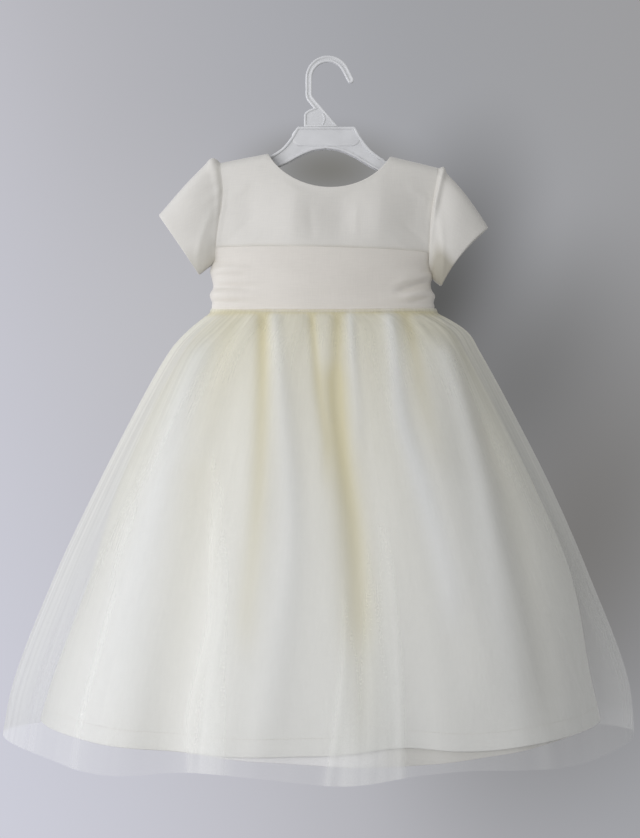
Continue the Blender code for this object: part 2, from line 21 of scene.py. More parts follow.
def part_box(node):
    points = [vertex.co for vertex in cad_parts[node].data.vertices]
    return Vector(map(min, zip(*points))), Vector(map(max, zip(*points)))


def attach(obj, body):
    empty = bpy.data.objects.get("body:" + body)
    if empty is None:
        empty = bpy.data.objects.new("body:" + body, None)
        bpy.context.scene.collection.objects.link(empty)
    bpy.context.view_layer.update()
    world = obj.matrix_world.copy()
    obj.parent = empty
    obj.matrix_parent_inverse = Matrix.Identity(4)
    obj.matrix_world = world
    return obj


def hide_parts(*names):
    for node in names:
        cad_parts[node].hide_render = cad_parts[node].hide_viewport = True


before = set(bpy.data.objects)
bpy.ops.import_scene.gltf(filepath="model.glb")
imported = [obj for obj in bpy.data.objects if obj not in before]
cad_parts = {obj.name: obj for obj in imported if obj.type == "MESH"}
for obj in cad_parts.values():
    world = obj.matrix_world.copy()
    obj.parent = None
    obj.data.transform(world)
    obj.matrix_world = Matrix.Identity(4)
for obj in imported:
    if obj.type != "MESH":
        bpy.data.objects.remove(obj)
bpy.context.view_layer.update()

Array = np.ndarray
Pair = tuple[float, float]
Triple = tuple[float, float, float]
Cut = tuple[Pair, float]
Faces = list[tuple[int, ...]]
Material = bpy.types.Material
Socket = bpy.types.NodeSocket
BODY = "root"
CLOTH_UV = "Cloth"
LOG = logging.getLogger("flower_girl_dress")


class Side(Enum):
    """The front or the back of the dress, by the sign of Y."""

    FRONT = -1
    BACK = 1


class Hand(Enum):
    """The left or the right of the dress, by the sign of X."""

    LEFT = -1
    RIGHT = 1

    def __str__(self) -> str:
        """Its word in the pieces' names."""
        return self.name.lower()


class Slot(Enum):
    """The record's material slots."""

    SATIN = "ivory_satin"
    SASH = "sash_satin"
    SKIRT = "skirt_satin"
    LINING = "lining"
    TULLE = "tulle"
    BUTTON = "covered_button"
    PLASTIC = "hanger_plastic"


class Held(Enum):
    """How a sheet of cloth is held."""

    HUNG = "hung"
    GATHERED = "gathered"


# --- Curves and grids ---


def metres(tenths: Iterable[float]) -> tuple[float, ...]:
    """Lengths given in tenths of a millimetre, in metres."""
    return tuple(length / 10000 for length in tenths)


def table(kind: type, *rows: tuple[int, ...]) -> tuple:
    """Items of the kind, from rows of lengths in tenths of a millimetre."""
    return tuple(kind(*metres(row)) for row in rows)


def ease(t: Array | float) -> Array:
    """A smooth step from 0 to 1."""
    t = np.clip(t, 0.0, 1.0)
    return t * t * (3 - 2 * t)


def bell(distance: Array | float, width: Array | float) -> Array:
    """A soft bump, 1 at no distance and nearly 0 at twice the width."""
    return np.exp(-((distance / width) ** 2))


def quarter_round(distance: Array, radius: float) -> Array:
    """Rises from 0 at an edge to 1 at the given distance from it, as a quarter circle does."""
    return np.sqrt(np.maximum(0.0, 1 - (1 - np.clip(distance / radius, 0.0, 1.0)) ** 2))


def unit(vectors: Array) -> Array:
    """The vectors at length 1."""
    return vectors / np.maximum(np.linalg.norm(vectors, axis=-1, keepdims=True), 1e-12)


def smooth_column(heights: Array, values: Array, at: Array) -> Array:
    """Reads a table's column on a smooth curve through its rows.

    Args:
        heights: The rows' places, in rising order.
        values: The column's values there.
        at: Where to read it.

    Returns:
        The column's values at those places.
    """
    slopes = np.gradient(values, heights)
    slopes[1:-1] = (values[2:] - values[:-2]) / (heights[2:] - heights[:-2])
    at = np.clip(at, heights[0], heights[-1])
    i = np.clip(np.searchsorted(heights, at, side="right") - 1, 0, len(heights) - 2)
    span = heights[i + 1] - heights[i]
    t = (at - heights[i]) / span
    return (
        values[i] * (1 + 2 * t) * (1 - t) ** 2
        + values[i + 1] * t * t * (3 - 2 * t)
        + span * slopes[i] * t * (1 - t) ** 2
        + span * slopes[i + 1] * t * t * (t - 1)
    )


@dataclass(frozen=True)
class Level:
    """A section at one height: its left and right edges, and its depths to the front and back."""

    z: float
    left: float
    right: float
    front: float
    back: float


@dataclass(frozen=True)
class LevelTable:
    """Sections at several heights, read between them on smooth curves."""

    rows: tuple[Level, ...]

    def column(self, name: str, z: Array) -> Array:
        """The named column at the heights z."""
        heights, values = np.array(sorted((row.z, getattr(row, name)) for row in self.rows)).T
        return smooth_column(heights, values, z)

    def x(self, s: Array, z: Array) -> Array:
        """The place across at the share s, from -1 at the left edge to 1 at the right one."""
        left, right = self.column("left", z), self.column("right", z)
        return left + (right - left) * (s + 1) / 2

    def depth(self, side: Side, z: Array) -> Array:
        """The depth to the front or the back at the heights z."""
        return self.column("front" if side is Side.FRONT else "back", z)


@dataclass
class Grid:
    """A cloth surface: rows of points, and what the finish reads at each point."""

    points: Array
    closed: bool = False
    flip: bool = False
    values: dict[str, Array] = field(default_factory=dict)
    cut_width: float | None = None

    def across(self) -> Array:
        """Steps along the rows, at each point."""
        ring = (np.roll(self.points, -1, axis=1) - np.roll(self.points, 1, axis=1)) / 2
        return ring if self.closed else np.gradient(self.points, axis=1)

    def normals(self) -> Array:
        """Unit normals, on the side that the flip flag says is the outside."""
        normal = unit(np.cross(self.across(), np.gradient(self.points, axis=0)))
        return -normal if self.flip else normal

    def facing_out(self) -> "Grid":
        """Sets the flip flag so that the grid's normals point away from the body.

        Returns:
            The grid with that flag.
        """
        inside = self.points.mean(axis=1, keepdims=True) if self.closed else self.points * (1, 0, 1)
        outward = float(np.sum(self.normals() * (self.points - inside)))
        return self if outward > 0 else replace(self, flip=not self.flip)

    def moved(self, distance: Array | float) -> "Grid":
        """The grid moved outwards along its normals by the distance of each point."""
        return replace(self, points=self.points + self.normals() * np.asarray(distance)[..., None])

    def backwards(self) -> "Grid":
        """The same surface with its rows in the opposite order."""
        values = {name: value[::-1] for name, value in self.values.items()}
        return Grid(self.points[::-1], self.closed, not self.flip, values)

    def with_rows(self, before: list[Array], after: list[Array]) -> "Grid":
        """Adds rows of points, which take the values of the grid's own end rows.

        Args:
            before: Rows for before its first one.
            after: Rows for after its last one.

        Returns:
            The longer grid.
        """
        row = self.points.shape[1:]
        points = [np.reshape(before, (-1, *row)), self.points, np.reshape(after, (-1, *row))]
        rows = [0] * len(before) + list(range(len(self.points))) + [-1] * len(after)
        values = {name: value[rows] for name, value in self.values.items()}
        return replace(self, points=np.concatenate(points), values=values)

    def turned_edge(self, radius: float, facing: float) -> "Grid":
        """Turns the last row's edge inwards round a small roll and down the inside.

        Args:
            radius: The roll's radius.
            facing: How far the turned cloth reaches back on the inside.

        Returns:
            The grid with the roll and the facing added after its last row.
        """
        points, normals = self.points, self.normals()
        edge, outward = points[-1], normals[-1]
        along = np.cross(outward, unit(self.across()[-1])) * (-1.0 if self.flip else 1.0)
        roll = [
            edge + radius * (outward * (math.cos(a) - 1) + along * math.sin(a))
            for a in np.linspace(0.0, math.pi, 8)[1:]
        ]
        steps = np.linalg.norm(np.diff(points[::-1], axis=0), axis=-1).mean(axis=1)
        count = max(1, int(np.searchsorted(np.cumsum(steps), facing)))
        return self.with_rows([], [*roll, *(points - 2 * radius * normals)[-2 : -2 - count : -1]])

    def flat_places(self) -> Array:
        """Where each point lies in the flat cloth, in metres across and along, for the weave.

        Returns:
            Both places at each point, with the first column once more at a closed grid's end.
        """
        points = self.points
        if self.closed:
            points = np.concatenate([points, points[:, :1]], axis=1)
        across = np.linalg.norm(np.diff(points, axis=1), axis=-1)
        along = np.linalg.norm(np.diff(points, axis=0), axis=-1)
        u = np.pad(np.cumsum(across, axis=1), ((0, 0), (1, 0)))
        v = np.pad(np.cumsum(along, axis=0), ((1, 0), (0, 0)))
        if self.cut_width is not None:
            u = np.broadcast_to(np.linspace(0.0, self.cut_width, points.shape[1]), u.shape)
        return np.stack([u - u[:, [points.shape[1] // 2]], v], axis=-1)


def ring_faces(rings: int, count: int, closed: bool = False) -> Faces:
    """Quads between neighbouring closed rings of points.

    Args:
        rings: How many rings there are.
        count: How many points each has.
        closed: Whether the last ring joins the first one.

    Returns:
        Each quad's corners.
    """
    faces = []
    for ring in range(rings if closed else rings - 1):
        near, far = ring * count, (ring + 1) % rings * count
        for i in range(count):
            after = (i + 1) % count
            faces.append((near + i, near + after, far + after, far + i))
    return faces


def cloth_mesh(name: str, grid: Grid) -> bpy.types.Mesh:
    """The grid as a mesh, with its places in the flat cloth as its UV map.

    Args:
        name: The mesh's name.
        grid: The surface.

    Returns:
        The mesh, smoothly shaded.
    """
    rows, columns = grid.points.shape[:2]
    cells = columns if grid.closed else columns - 1
    j, i = np.meshgrid(np.arange(rows - 1), np.arange(cells), indexing="ij")
    corners = np.stack([j * columns + i, j * columns + (i + 1) % columns], axis=-1)
    corners = np.concatenate([corners, corners[..., ::-1] + columns], axis=-1).reshape(-1, 4)
    places = grid.flat_places()
    around = ((j, i), (j, i + 1), (j + 1, i + 1), (j + 1, i))
    flat = np.stack([places[corner] for corner in around], axis=-2).reshape(-1, 4, 2)
    if grid.flip:
        corners, flat = corners[:, ::-1], flat[:, ::-1]
    mesh = bpy.data.meshes.new(name)
    mesh.from_pydata(grid.points.reshape(-1, 3), [], corners.tolist())
    layer = mesh.uv_layers.new(name=CLOTH_UV)
    layer.data.foreach_set("uv", flat.astype(np.float32).ravel())
    for key, value in grid.values.items():
        attribute = mesh.attributes.new(key, "FLOAT", "POINT")
        attribute.data.foreach_set("value", value.astype(np.float32).ravel())
    mesh.shade_smooth()
    return mesh


def linked(name: str, data: bpy.types.ID, material: Material | None = None) -> bpy.types.Object:
    """Puts an object of the data in the scene.

    Args:
        name: Its name.
        data: Its mesh, light or camera.
        material: A mesh's finish.

    Returns:
        The object.
    """
    made = bpy.data.objects.new(name, data)
    if material is not None:
        data.materials.append(material)
    bpy.context.scene.collection.objects.link(made)
    return made


def settle(piece: bpy.types.Object, node: str = "") -> bpy.types.Object:
    """Hands a finished piece to the frame, and reports it.

    Args:
        piece: The finished piece.
        node: The plain solid that it stands for.

    Returns:
        The piece.
    """
    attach(piece, BODY)
    if node:
        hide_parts(node)
    LOG.info("%s: %d faces", piece.name, len(piece.data.polygons))
    return piece


@dataclass(frozen=True)
class Cloth:
    """A cloth as its pieces are sewn: its finish, slot and thickness, and how they are held.

    A thickness of 0 is for a net, which is left as a single sheet.
    """

    finish: Material
    slot: Slot
    thickness: float
    rests_on: str
    held: Held = Held.HUNG
    kind: str = "satin"

    def sew(self, name: str, grid: Grid, flat: Pair, area: float | None = None) -> None:
        """Makes a piece as one thin shell, whose outer face is the grid's own.

        Args:
            name: The plain solid that the piece stands for.
            grid: Its surface.
            flat: The width and length that it was cut to; not used.
            area: The cut's flat area, where it isn't a rectangle; not used.
        """
        piece_name = f"{self.kind}_{name}"
        piece = linked(piece_name, cloth_mesh(piece_name, grid), self.finish)
        if self.thickness > 0:
            wall = piece.modifiers.new("Cloth thickness", "SOLIDIFY")
            wall.thickness = self.thickness
            wall.offset = -1.0
            wall.use_quality_normals = True
        settle(piece, name)


# --- Finishes ---


class NodeWork:
    """A node tree, built a step at a time."""

    def __init__(self, tree: bpy.types.NodeTree) -> None:
        """Starts on the tree, and empties it."""
        self.tree = tree
        tree.nodes.clear()

    def add(self, kind: str, inputs: dict | None = None, **settings: Any) -> bpy.types.Node:
        """Adds a node.

        Args:
            kind: The node's type name.
            inputs: Values or sockets for its inputs, by name or number.
            settings: Its own properties.

        Returns:
            The node.
        """
        made = self.tree.nodes.new(kind)
        for key, value in settings.items():
            setattr(made, key, value)
        for key, value in (inputs or {}).items():
            if isinstance(value, Socket):
                self.tree.links.new(value, made.inputs[key])
            else:
                made.inputs[key].default_value = value
        return made

    def node(
        self, kind: str, inputs: dict | None = None, output: int | str = 0, **settings: Any
    ) -> Socket:
        """Adds a node and gives one of its outputs, which is the first where none is named."""
        return self.add(kind, inputs, **settings).outputs[output]

    def math(self, operation: str, a: Any, b: Any, clamp: bool = False) -> Socket:
        """The result of a sum on two numbers or sockets."""
        return self.node("ShaderNodeMath", {0: a, 1: b}, operation=operation, use_clamp=clamp)

    def spread(
        self, value: Any, low: float, high: float, to: tuple[Any, Any] = (0.0, 1.0), **settings: Any
    ) -> Socket:
        """Maps the value from low and high to a pair of others, and stops at both ends."""
        inputs = {0: value, 1: low, 2: high, 3: to[0], 4: to[1]}
        return self.node("ShaderNodeMapRange", inputs, **settings)

    def mixed(self, factor: Any, a: Any, b: Any) -> Socket:
        """A colour between a and b, which are colours or sockets."""
        a, b = ((*tone, 1.0) if isinstance(tone, tuple) else tone for tone in (a, b))
        return self.node("ShaderNodeMix", {0: factor, 6: a, 7: b}, 2, data_type="RGBA")


class Shader(NodeWork):
    """A material's node tree."""

    def __init__(self, name: str) -> None:
        """Starts an empty tree.

        Args:
            name: The material's name.
        """
        self.material = bpy.data.materials.new(name)
        self.material.use_nodes = True
        super().__init__(self.material.node_tree)

    def flat_cloth(self, across: float, along: float, turn: float = 0.0) -> Socket:
        """Looks up the place in the flat cloth.

        Args:
            across: The length of a step across the cloth.
            along: The length of a step along it.
            turn: The angle by which the steps are turned.

        Returns:
            The place, in those steps.
        """
        inputs = {"Scale": (1 / across, 1 / along, 1), "Rotation": (0, 0, turn)}
        inputs["Vector"] = self.node("ShaderNodeUVMap", uv_map=CLOTH_UV)
        return self.node("ShaderNodeMapping", inputs)

    def value(self, name: str) -> Socket:
        """The value of that name that the piece carries at each point."""
        return self.node("ShaderNodeAttribute", output="Fac", attribute_name=name)

    def noise(self, places: Socket, detail: float = 2.0, scale: float = 1.0) -> Socket:
        """Noise between about 0 and 1 at the places."""
        return self.node("ShaderNodeTexNoise", {"Vector": places, "Scale": scale, "Detail": detail})

    def bump(self, height: Socket, distance: float, below: Socket | None = None) -> Socket:
        """A normal for relief of the given height, on top of the relief below."""
        inputs = {"Height": height, "Distance": distance, **({"Normal": below} if below else {})}
        return self.node("ShaderNodeBump", inputs)

    def finish(self, inputs: dict[str, Any]) -> Material:
        """Joins a surface of those inputs to the output and gives the material."""
        self.add("ShaderNodeOutputMaterial", {0: self.node("ShaderNodeBsdfPrincipled", inputs)})
        return self.material


def toned(colour: Triple, share: float) -> Triple:
    """The colour made darker or paler by the share."""
    return tuple(min(1.0, share * part) for part in colour)


@dataclass(frozen=True)
class SatinFinish:
    """Woven satin: a fine diagonal weave, slubs along its threads and a soft sheen.

    Pieces carry a painted shade value from 0 to 1: there the cloth takes its painted shade colour.
    """

    name: str
    colour: Triple
    valley: Triple
    roughness: float = 0.46
    sheen: float = 0.25
    wrinkle_depth: float = 0.0006
    wrinkle_size: float = 0.030
    weave_pitch: float = 0.0007
    weave_turn: float = 0.9
    weave_relief: float = 0.00003
    slub_length: float = 0.018
    slub_width: float = 0.0011
    slub_relief: float = 0.000025
    slub_gloss: Pair = (-0.03, 0.04)
    weave_distortion: float = 0.6
    wrinkle_width: float = 0.6
    blotch_size: Pair = (1 / 14, 1 / 9)
    blotch_limits: Pair = (0.35, 0.7)
    blotch_shares: Pair = (0.0, 0.35)
    tones: Pair = (0.97, 1.015)
    tone_limits: Pair = (0.75, 1.25)
    gloss_limits: Pair = (0.6, 1.4)

    def material(self) -> Material:
        """Makes the finish.

        Returns:
            Its material.
        """
        shader = Shader(self.name)
        slub, size = (self.slub_length, self.slub_width), self.wrinkle_size
        threads = (shader.noise(shader.flat_cloth(*run)) for run in (slub, slub[::-1]))
        slubs = shader.math("ADD", *threads)
        weave = {
            "Vector": shader.flat_cloth(self.weave_pitch, self.weave_pitch, self.weave_turn),
            "Scale": 1 / math.pi,
            "Distortion": self.weave_distortion,
        }
        weave = shader.node("ShaderNodeTexWave", weave, "Fac")
        blotches = shader.noise(shader.flat_cloth(*self.blotch_size), 3.0)
        wrinkles = shader.noise(shader.flat_cloth(size, size / self.wrinkle_width), 3.0)
        dark, light = (toned(self.colour, tone) for tone in self.tones)
        cloth = shader.mixed(shader.spread(slubs, *self.tone_limits), dark, light)
        patches = shader.spread(blotches, *self.blotch_limits, self.blotch_shares)
        cloth = shader.mixed(patches, cloth, self.colour)
        relief = shader.bump(wrinkles, self.wrinkle_depth)
        relief = shader.bump(slubs, self.slub_relief, relief)
        gloss = tuple(self.roughness + change for change in self.slub_gloss)
        return shader.finish(
            {
                # Painted shade: the colour turns to the painted shade colour as far as the value
                # says.
                "Base Color": shader.mixed(shader.value("tint"), cloth, self.valley),
                "Roughness": shader.spread(slubs, *self.gloss_limits, gloss),
                "Specular IOR Level": 0.35,
                "Sheen Weight": self.sheen,
                "Sheen Roughness": 0.45,
                "Sheen Tint": (1.0, 0.97, 0.93, 1.0),
                "Normal": shader.bump(weave, self.weave_relief, relief),
            }
        )


@dataclass(frozen=True)
class TulleFinish:
    """Fine net that is seen through: its cells, and streaks where its gathers close up.

    Pieces carry a value "closeness", the share of light that the net stops, and a value of
    painted shade, where layers of it take the painted shade colour.
    """

    name: str
    colour: Triple
    valley: Triple
    cell: float = 0.0013
    thread_core: float = 0.05
    thread_share: float = 0.30
    net_cover: Pair = (0.95, 1.08)
    streak_width: float = 0.012
    streak_length: float = 0.30
    streak_limits: Pair = (0.3, 0.7)
    streak_cover: Pair = (0.86, 1.14)
    tone: float = 1.04
    tone_limits: Pair = (0.35, 0.65)

    def material(self) -> Material:
        """Makes the finish.

        Returns:
            Its material.
        """
        shader = Shader(self.name)
        cells = {"Vector": shader.flat_cloth(self.cell, self.cell), "Scale": 1.0}
        cells = shader.node("ShaderNodeTexVoronoi", cells, feature="DISTANCE_TO_EDGE")
        thread = shader.spread(cells, self.thread_core, self.thread_share, (1.0, 0.0))
        streaks = shader.noise(shader.flat_cloth(self.streak_width, self.streak_length), 4.0)
        uneven = shader.spread(streaks, *self.streak_limits, self.streak_cover)
        closed_up = shader.math("MULTIPLY", shader.value("closeness"), uneven)
        netted = shader.spread(thread, 0.0, 1.0, self.net_cover)
        light = toned(self.colour, self.tone)
        cloth = shader.mixed(shader.spread(streaks, *self.tone_limits), self.colour, light)
        return shader.finish(
            {
                # Painted shade: the colour turns to the painted shade colour as far as the value
                # says.
                "Base Color": shader.mixed(shader.value("tint"), cloth, self.valley),
                "Roughness": 0.75,
                "Specular IOR Level": 0.15,
                "Sheen Weight": 0.3,
                "Sheen Roughness": 0.5,
                "Alpha": shader.math("MULTIPLY", closed_up, netted, clamp=True),
            }
        )


@dataclass(frozen=True)
class PlasticFinish:
    """Moulded plastic: a slight orange peel, flow marks and rubbed places."""

    name: str
    colour: Triple
    roughness: float = 0.34
    rubbing: Pair = (-0.06, 0.16)
    peel_scale: float = 900.0
    peel_relief: float = 0.00004
    flow_scale: float = 38.0
    flow_limits: Pair = (0.35, 0.65)
    flow_tone: float = 0.90
    scratch_scale: Triple = (40.0, 40.0, 900.0)
    scratch_limits: Pair = (0.45, 0.75)
    scratch_relief: float = 0.00003

    def material(self) -> Material:
        """Makes the finish.

        Returns:
            Its material.
        """
        shader = Shader(self.name)
        place = shader.node("ShaderNodeTexCoord", output="Object")
        peel = shader.noise(place, 2.0, self.peel_scale)
        flow = shader.noise(place, 4.0, self.flow_scale)
        brushed = {"Vector": place, "Scale": self.scratch_scale}
        scratches = shader.noise(shader.node("ShaderNodeMapping", brushed), 3.0)
        rubbed = tuple(self.roughness + change for change in self.rubbing)
        patches = shader.spread(flow, *self.flow_limits)
        relief = shader.bump(scratches, self.scratch_relief)
        dark = toned(self.colour, self.flow_tone)
        return shader.finish(
            {
                "Base Color": shader.mixed(patches, dark, self.colour),
                "Roughness": shader.spread(scratches, *self.scratch_limits, rubbed),
                "Specular IOR Level": 0.5,
                "Coat Weight": 0.1,
                "Coat Roughness": 0.25,
                "Normal": shader.bump(peel, self.peel_relief, relief),
            }
        )


@dataclass(frozen=True)
class ThreadFinish:
    """Twisted sewing thread."""

    name: str
    colour: Triple
    strand_scale: float = 4000.0
    strand_relief: float = 0.00002
    strand_tone: float = 0.85

    def material(self) -> Material:
        """Makes the finish.

        Returns:
            Its material.
        """
        shader = Shader(self.name)
        place = shader.node("ShaderNodeTexCoord", output="Object")
        strands = shader.noise(place, 1.0, self.strand_scale)
        dark = toned(self.colour, self.strand_tone)
        return shader.finish(
            {
                "Base Color": shader.mixed(strands, dark, self.colour),
                "Roughness": 0.55,
                "Sheen Weight": 0.4,
                "Normal": shader.bump(strands, self.strand_relief),
            }
        )


class Finishes:
    """The materials of the dress and its hanger, each made once."""

    def __init__(self) -> None:
        """Makes all the materials."""
        # Each satin and tulle finish's second colour is its painted shade colour.
        self.satin = SatinFinish(
            "Ivory satin", (0.76, 0.745, 0.688), (0.50, 0.475, 0.395)
        ).material()
        self.sash = SatinFinish(
            "Sash satin", (0.775, 0.744, 0.675), (0.66, 0.56, 0.45), 0.42, 0.3
        ).material()
        self.skirt = SatinFinish(
            "Skirt satin", (0.825, 0.832, 0.805), (0.74, 0.69, 0.47)
        ).material()
        self.lining = SatinFinish(
            "Lining taffeta", (0.94, 0.94, 0.94), (0.72, 0.71, 0.66), 0.38
        ).material()
        self.tulle = TulleFinish(
            "Ivory tulle", (0.93, 0.945, 0.915), (0.82, 0.78, 0.57)
        ).material()
        self.button = SatinFinish(
            "Covered button satin", (0.80, 0.765, 0.715), (0.66, 0.58, 0.46), wrinkle_depth=0.0002
        ).material()
        self.plastic = PlasticFinish("Hanger plastic", (0.80, 0.81, 0.81)).material()
        self.thread = ThreadFinish("Ivory thread", (0.80, 0.77, 0.71)).material()


# --- The form of the dress ---


@dataclass(frozen=True)
class DressForm:
    """The form that the cloth pieces follow: half a closed section at each height.

    A place on it is a share s across, from -1 at the left side seam to 1 at the right one, and a
    height z. The depths lie in front of the side seams or behind them.
    """

    shoulder_z: float = -0.1000
    sash_top_z: float = -0.2015
    underarm_z: float = -0.2145
    waist_z: float = -0.2635
    satin: float = 0.0015
    seam: float = 0.0006
    width_power: float = 2.2
    depth_power: float = 1.65
    neck_x: float = -0.0015
    neck_half_width: float = 0.0650
    neck_drop_front: float = 0.0380
    neck_drop_back: float = 0.0325
    neck_roundness: float = 0.96
    neck_corner: float = 0.0009
    shoulder_half_width: float = 0.1150
    shoulder_slope: float = 0.206
    shoulder_round: float = 0.0120
    armhole_depth_front: float = 0.0165
    armhole_depth_back: float = 0.0145
    armhole_round: float = 0.0300
    hanging_tilt: float = 0.022
    underarm_ease: float = 0.0060
    eased_above_sash: Pair = (0.014, 0.012)
    waist_sag: float = 0.0035
    waist_sag_reach: float = 0.030
    skirt_straight: float = 0.0020
    back_seam_gap: float = 0.002
    corner_crowding: float = 1.42
    side_evenness: float = 0.35
    torso_levels: LevelTable = LevelTable(
        table(
            Level,
            (-2635, -1205, 1105, 400, 320),
            (-2380, -1195, 1065, 415, 330),
            (-2145, -1195, 1055, 415, 330),
            (-1790, -1155, 1070, 380, 310),
            (-1430, -1105, 1110, 320, 270),
            (-1080, -1140, 1160, 270, 220),
        )
    )

    @property
    def layer_step(self) -> float:
        """From the middle of one satin piece to the middle of the next one over it."""
        return self.satin + self.seam

    @property
    def skirt_top_z(self) -> float:
        """Where the skirts start, just under the bodice."""
        return self.waist_z - self.seam

    @property
    def shoulder_tip_z(self) -> float:
        """The shoulder seam's height at its outer end."""
        out = self.shoulder_half_width - self.neck_half_width
        return self.shoulder_z - self.shoulder_slope * out

    def lens(self, s: Array, power: Array | float | None = None) -> Array:
        """The depth of a rounded lens section at s, as a share of its depth in the middle."""
        power = self.depth_power if power is None else power
        return np.maximum(0.0, 1 - np.abs(s) ** self.width_power) ** (1 / power)

    def shoulder_line(self, x: Array) -> Array:
        """Height of the shoulder seam over x, before the dress tilts."""
        out = np.abs(x - self.neck_x) - self.neck_half_width
        return self.shoulder_z - self.shoulder_slope * np.maximum(0.0, out)

    def top_edge(self, s: Array, side: Side) -> Array:
        """Finds where the bodice ends: its shoulder seam or its neckline.

        Args:
            s: The places across.
            side: The front or the back.

        Returns:
            The edge's height at each place.
        """
        x = self.neck_x + s * self.shoulder_half_width
        across = np.abs(x - self.neck_x) / self.neck_half_width
        drop = self.neck_drop_front if side is Side.FRONT else self.neck_drop_back
        flat = math.sqrt(1 - self.neck_roundness**2)
        inside = np.minimum(across, 1.0)
        rounded = np.sqrt(1 - (self.neck_roundness * inside) ** 2)
        steep = drop * self.neck_roundness**2 / (flat * (1 - flat))
        neck = self.shoulder_z - drop * (rounded - flat) / (1 - flat) + steep * (across - inside)
        soft = self.neck_corner
        return -soft * np.logaddexp(-neck / soft, -self.shoulder_line(x) / soft)

    def armhole(self, z: Array, front: Array | bool, seam_z: Array | None = None) -> Array:
        """How far the armhole's edge stands in front of or behind the shoulder seam.

        Args:
            z: The height.
            front: Whether each point is in the front.
            seam_z: The shoulder seam's height, where it isn't the seam's outer end.

        Returns:
            The distance at each height.
        """
        depth = np.where(front, self.armhole_depth_front, self.armhole_depth_back)
        lower = quarter_round(z - self.underarm_z, self.armhole_round)
        seam_z = self.shoulder_tip_z if seam_z is None else seam_z
        return depth * lower * quarter_round(seam_z - z, self.shoulder_round)

    def sag(self, side: Side, s: Array, z: Array) -> Array:
        """How far the dress's front hangs down at its waist, over its gathered skirts."""
        most = self.waist_sag if side is Side.FRONT else 0.0
        return most * (1 - s * s) * bell(z - self.waist_z, self.waist_sag_reach)

    def hung(self, points: Array) -> Array:
        """The points as the dress hangs, a little lower at its right shoulder."""
        share = ease((points[..., 2] - self.waist_z) / (self.underarm_z - self.waist_z))
        return points - (self.hanging_tilt * points[..., 0] * share)[..., None] * (0, 0, 1)

    def torso(self, side: Side, s: Array, z: Array) -> Array:
        """Places the bodice's surface.

        Args:
            side: The front or the back.
            s: The places across, from -1 to 1.
            z: The heights.

        Returns:
            The points of the surface there.
        """
        s, z = np.broadcast_arrays(s, z)
        above = ease((z - self.underarm_z) / (self.sash_top_z - self.underarm_z))
        section = self.lens(s, self.depth_power + (1 - self.depth_power) * above)
        seam_z = self.shoulder_line(self.neck_x + s * self.shoulder_half_width)
        edge = self.armhole(z, side is Side.FRONT, seam_z)
        edge = np.where(z > self.underarm_z, edge, 0.0)
        shoulder = quarter_round(seam_z - z, self.shoulder_round)
        depth = edge + (self.torso_levels.depth(side, z) * shoulder - edge) * section
        y = side.value * np.maximum(depth, 0.0)
        x = self.torso_levels.x(s, z)
        return self.hung(np.stack([x, y, z - self.sag(side, s, z)], axis=-1))

    def eased_torso(self, side: Side, s: Array, z: Array) -> Array:
        """Places the torso, with its bend under the arm eased as the cloth there eases it.

        Args:
            side: The front or the back.
            s: The places across, from -1 to 1.
            z: The heights.

        Returns:
            The points, which are plain well above the sash.
        """
        plain = self.torso(side, s, z)
        shifts = np.linspace(-self.underarm_ease, self.underarm_ease, 9)
        eased = sum(self.torso(side, s, z + shift) for shift in shifts) / len(shifts)
        above, fade = self.eased_above_sash
        share = np.broadcast_to(ease((self.sash_top_z + above - z) / fade), plain.shape[:-1])
        return plain + (eased - plain) * share[..., None]

    def torso_columns(self, cells: int = 60) -> Array:
        """Places across the bodice: close together at its side seams and its neck's corners.

        Args:
            cells: How many there are from the middle to a corner of the neck.

        Returns:
            The places, from -1 to 1.
        """
        corner = self.neck_half_width / self.shoulder_half_width
        inner = np.sin(np.linspace(0.0, self.corner_crowding, cells))
        turns = np.linspace(0.0, 1.0, cells // 2)
        spread = self.side_evenness * turns + (1 - self.side_evenness) * ease(turns)
        outer = corner + (1 - corner) * spread
        half = np.concatenate([corner * inner / inner[-1], outer[1:]])
        return np.concatenate([-half[:0:-1], half])

    def half_of(self, columns: Array, hand: Hand) -> Array:
        """The columns on one side of the centre back, up to the seam there."""
        kept = columns[columns * hand.value > self.back_seam_gap]
        return np.append(kept, 0.0) if hand is Hand.LEFT else np.insert(kept, 0, 0.0)

    def panels(self, name: str, columns: Array) -> list[tuple[str, Side, Array]]:
        """A front and two back halves of a piece that goes round the dress: names and columns."""
        back = [(f"{name}_back_{hand}", Side.BACK, self.half_of(columns, hand)) for hand in Hand]
        return [(f"{name}_front", Side.FRONT, columns), *back]


@dataclass(frozen=True)
class SkirtFold:
    """A broad fold of the skirts, straight from the waist to the hem."""

    x_waist: float
    x_hem: float
    half_width: float
    depth: float


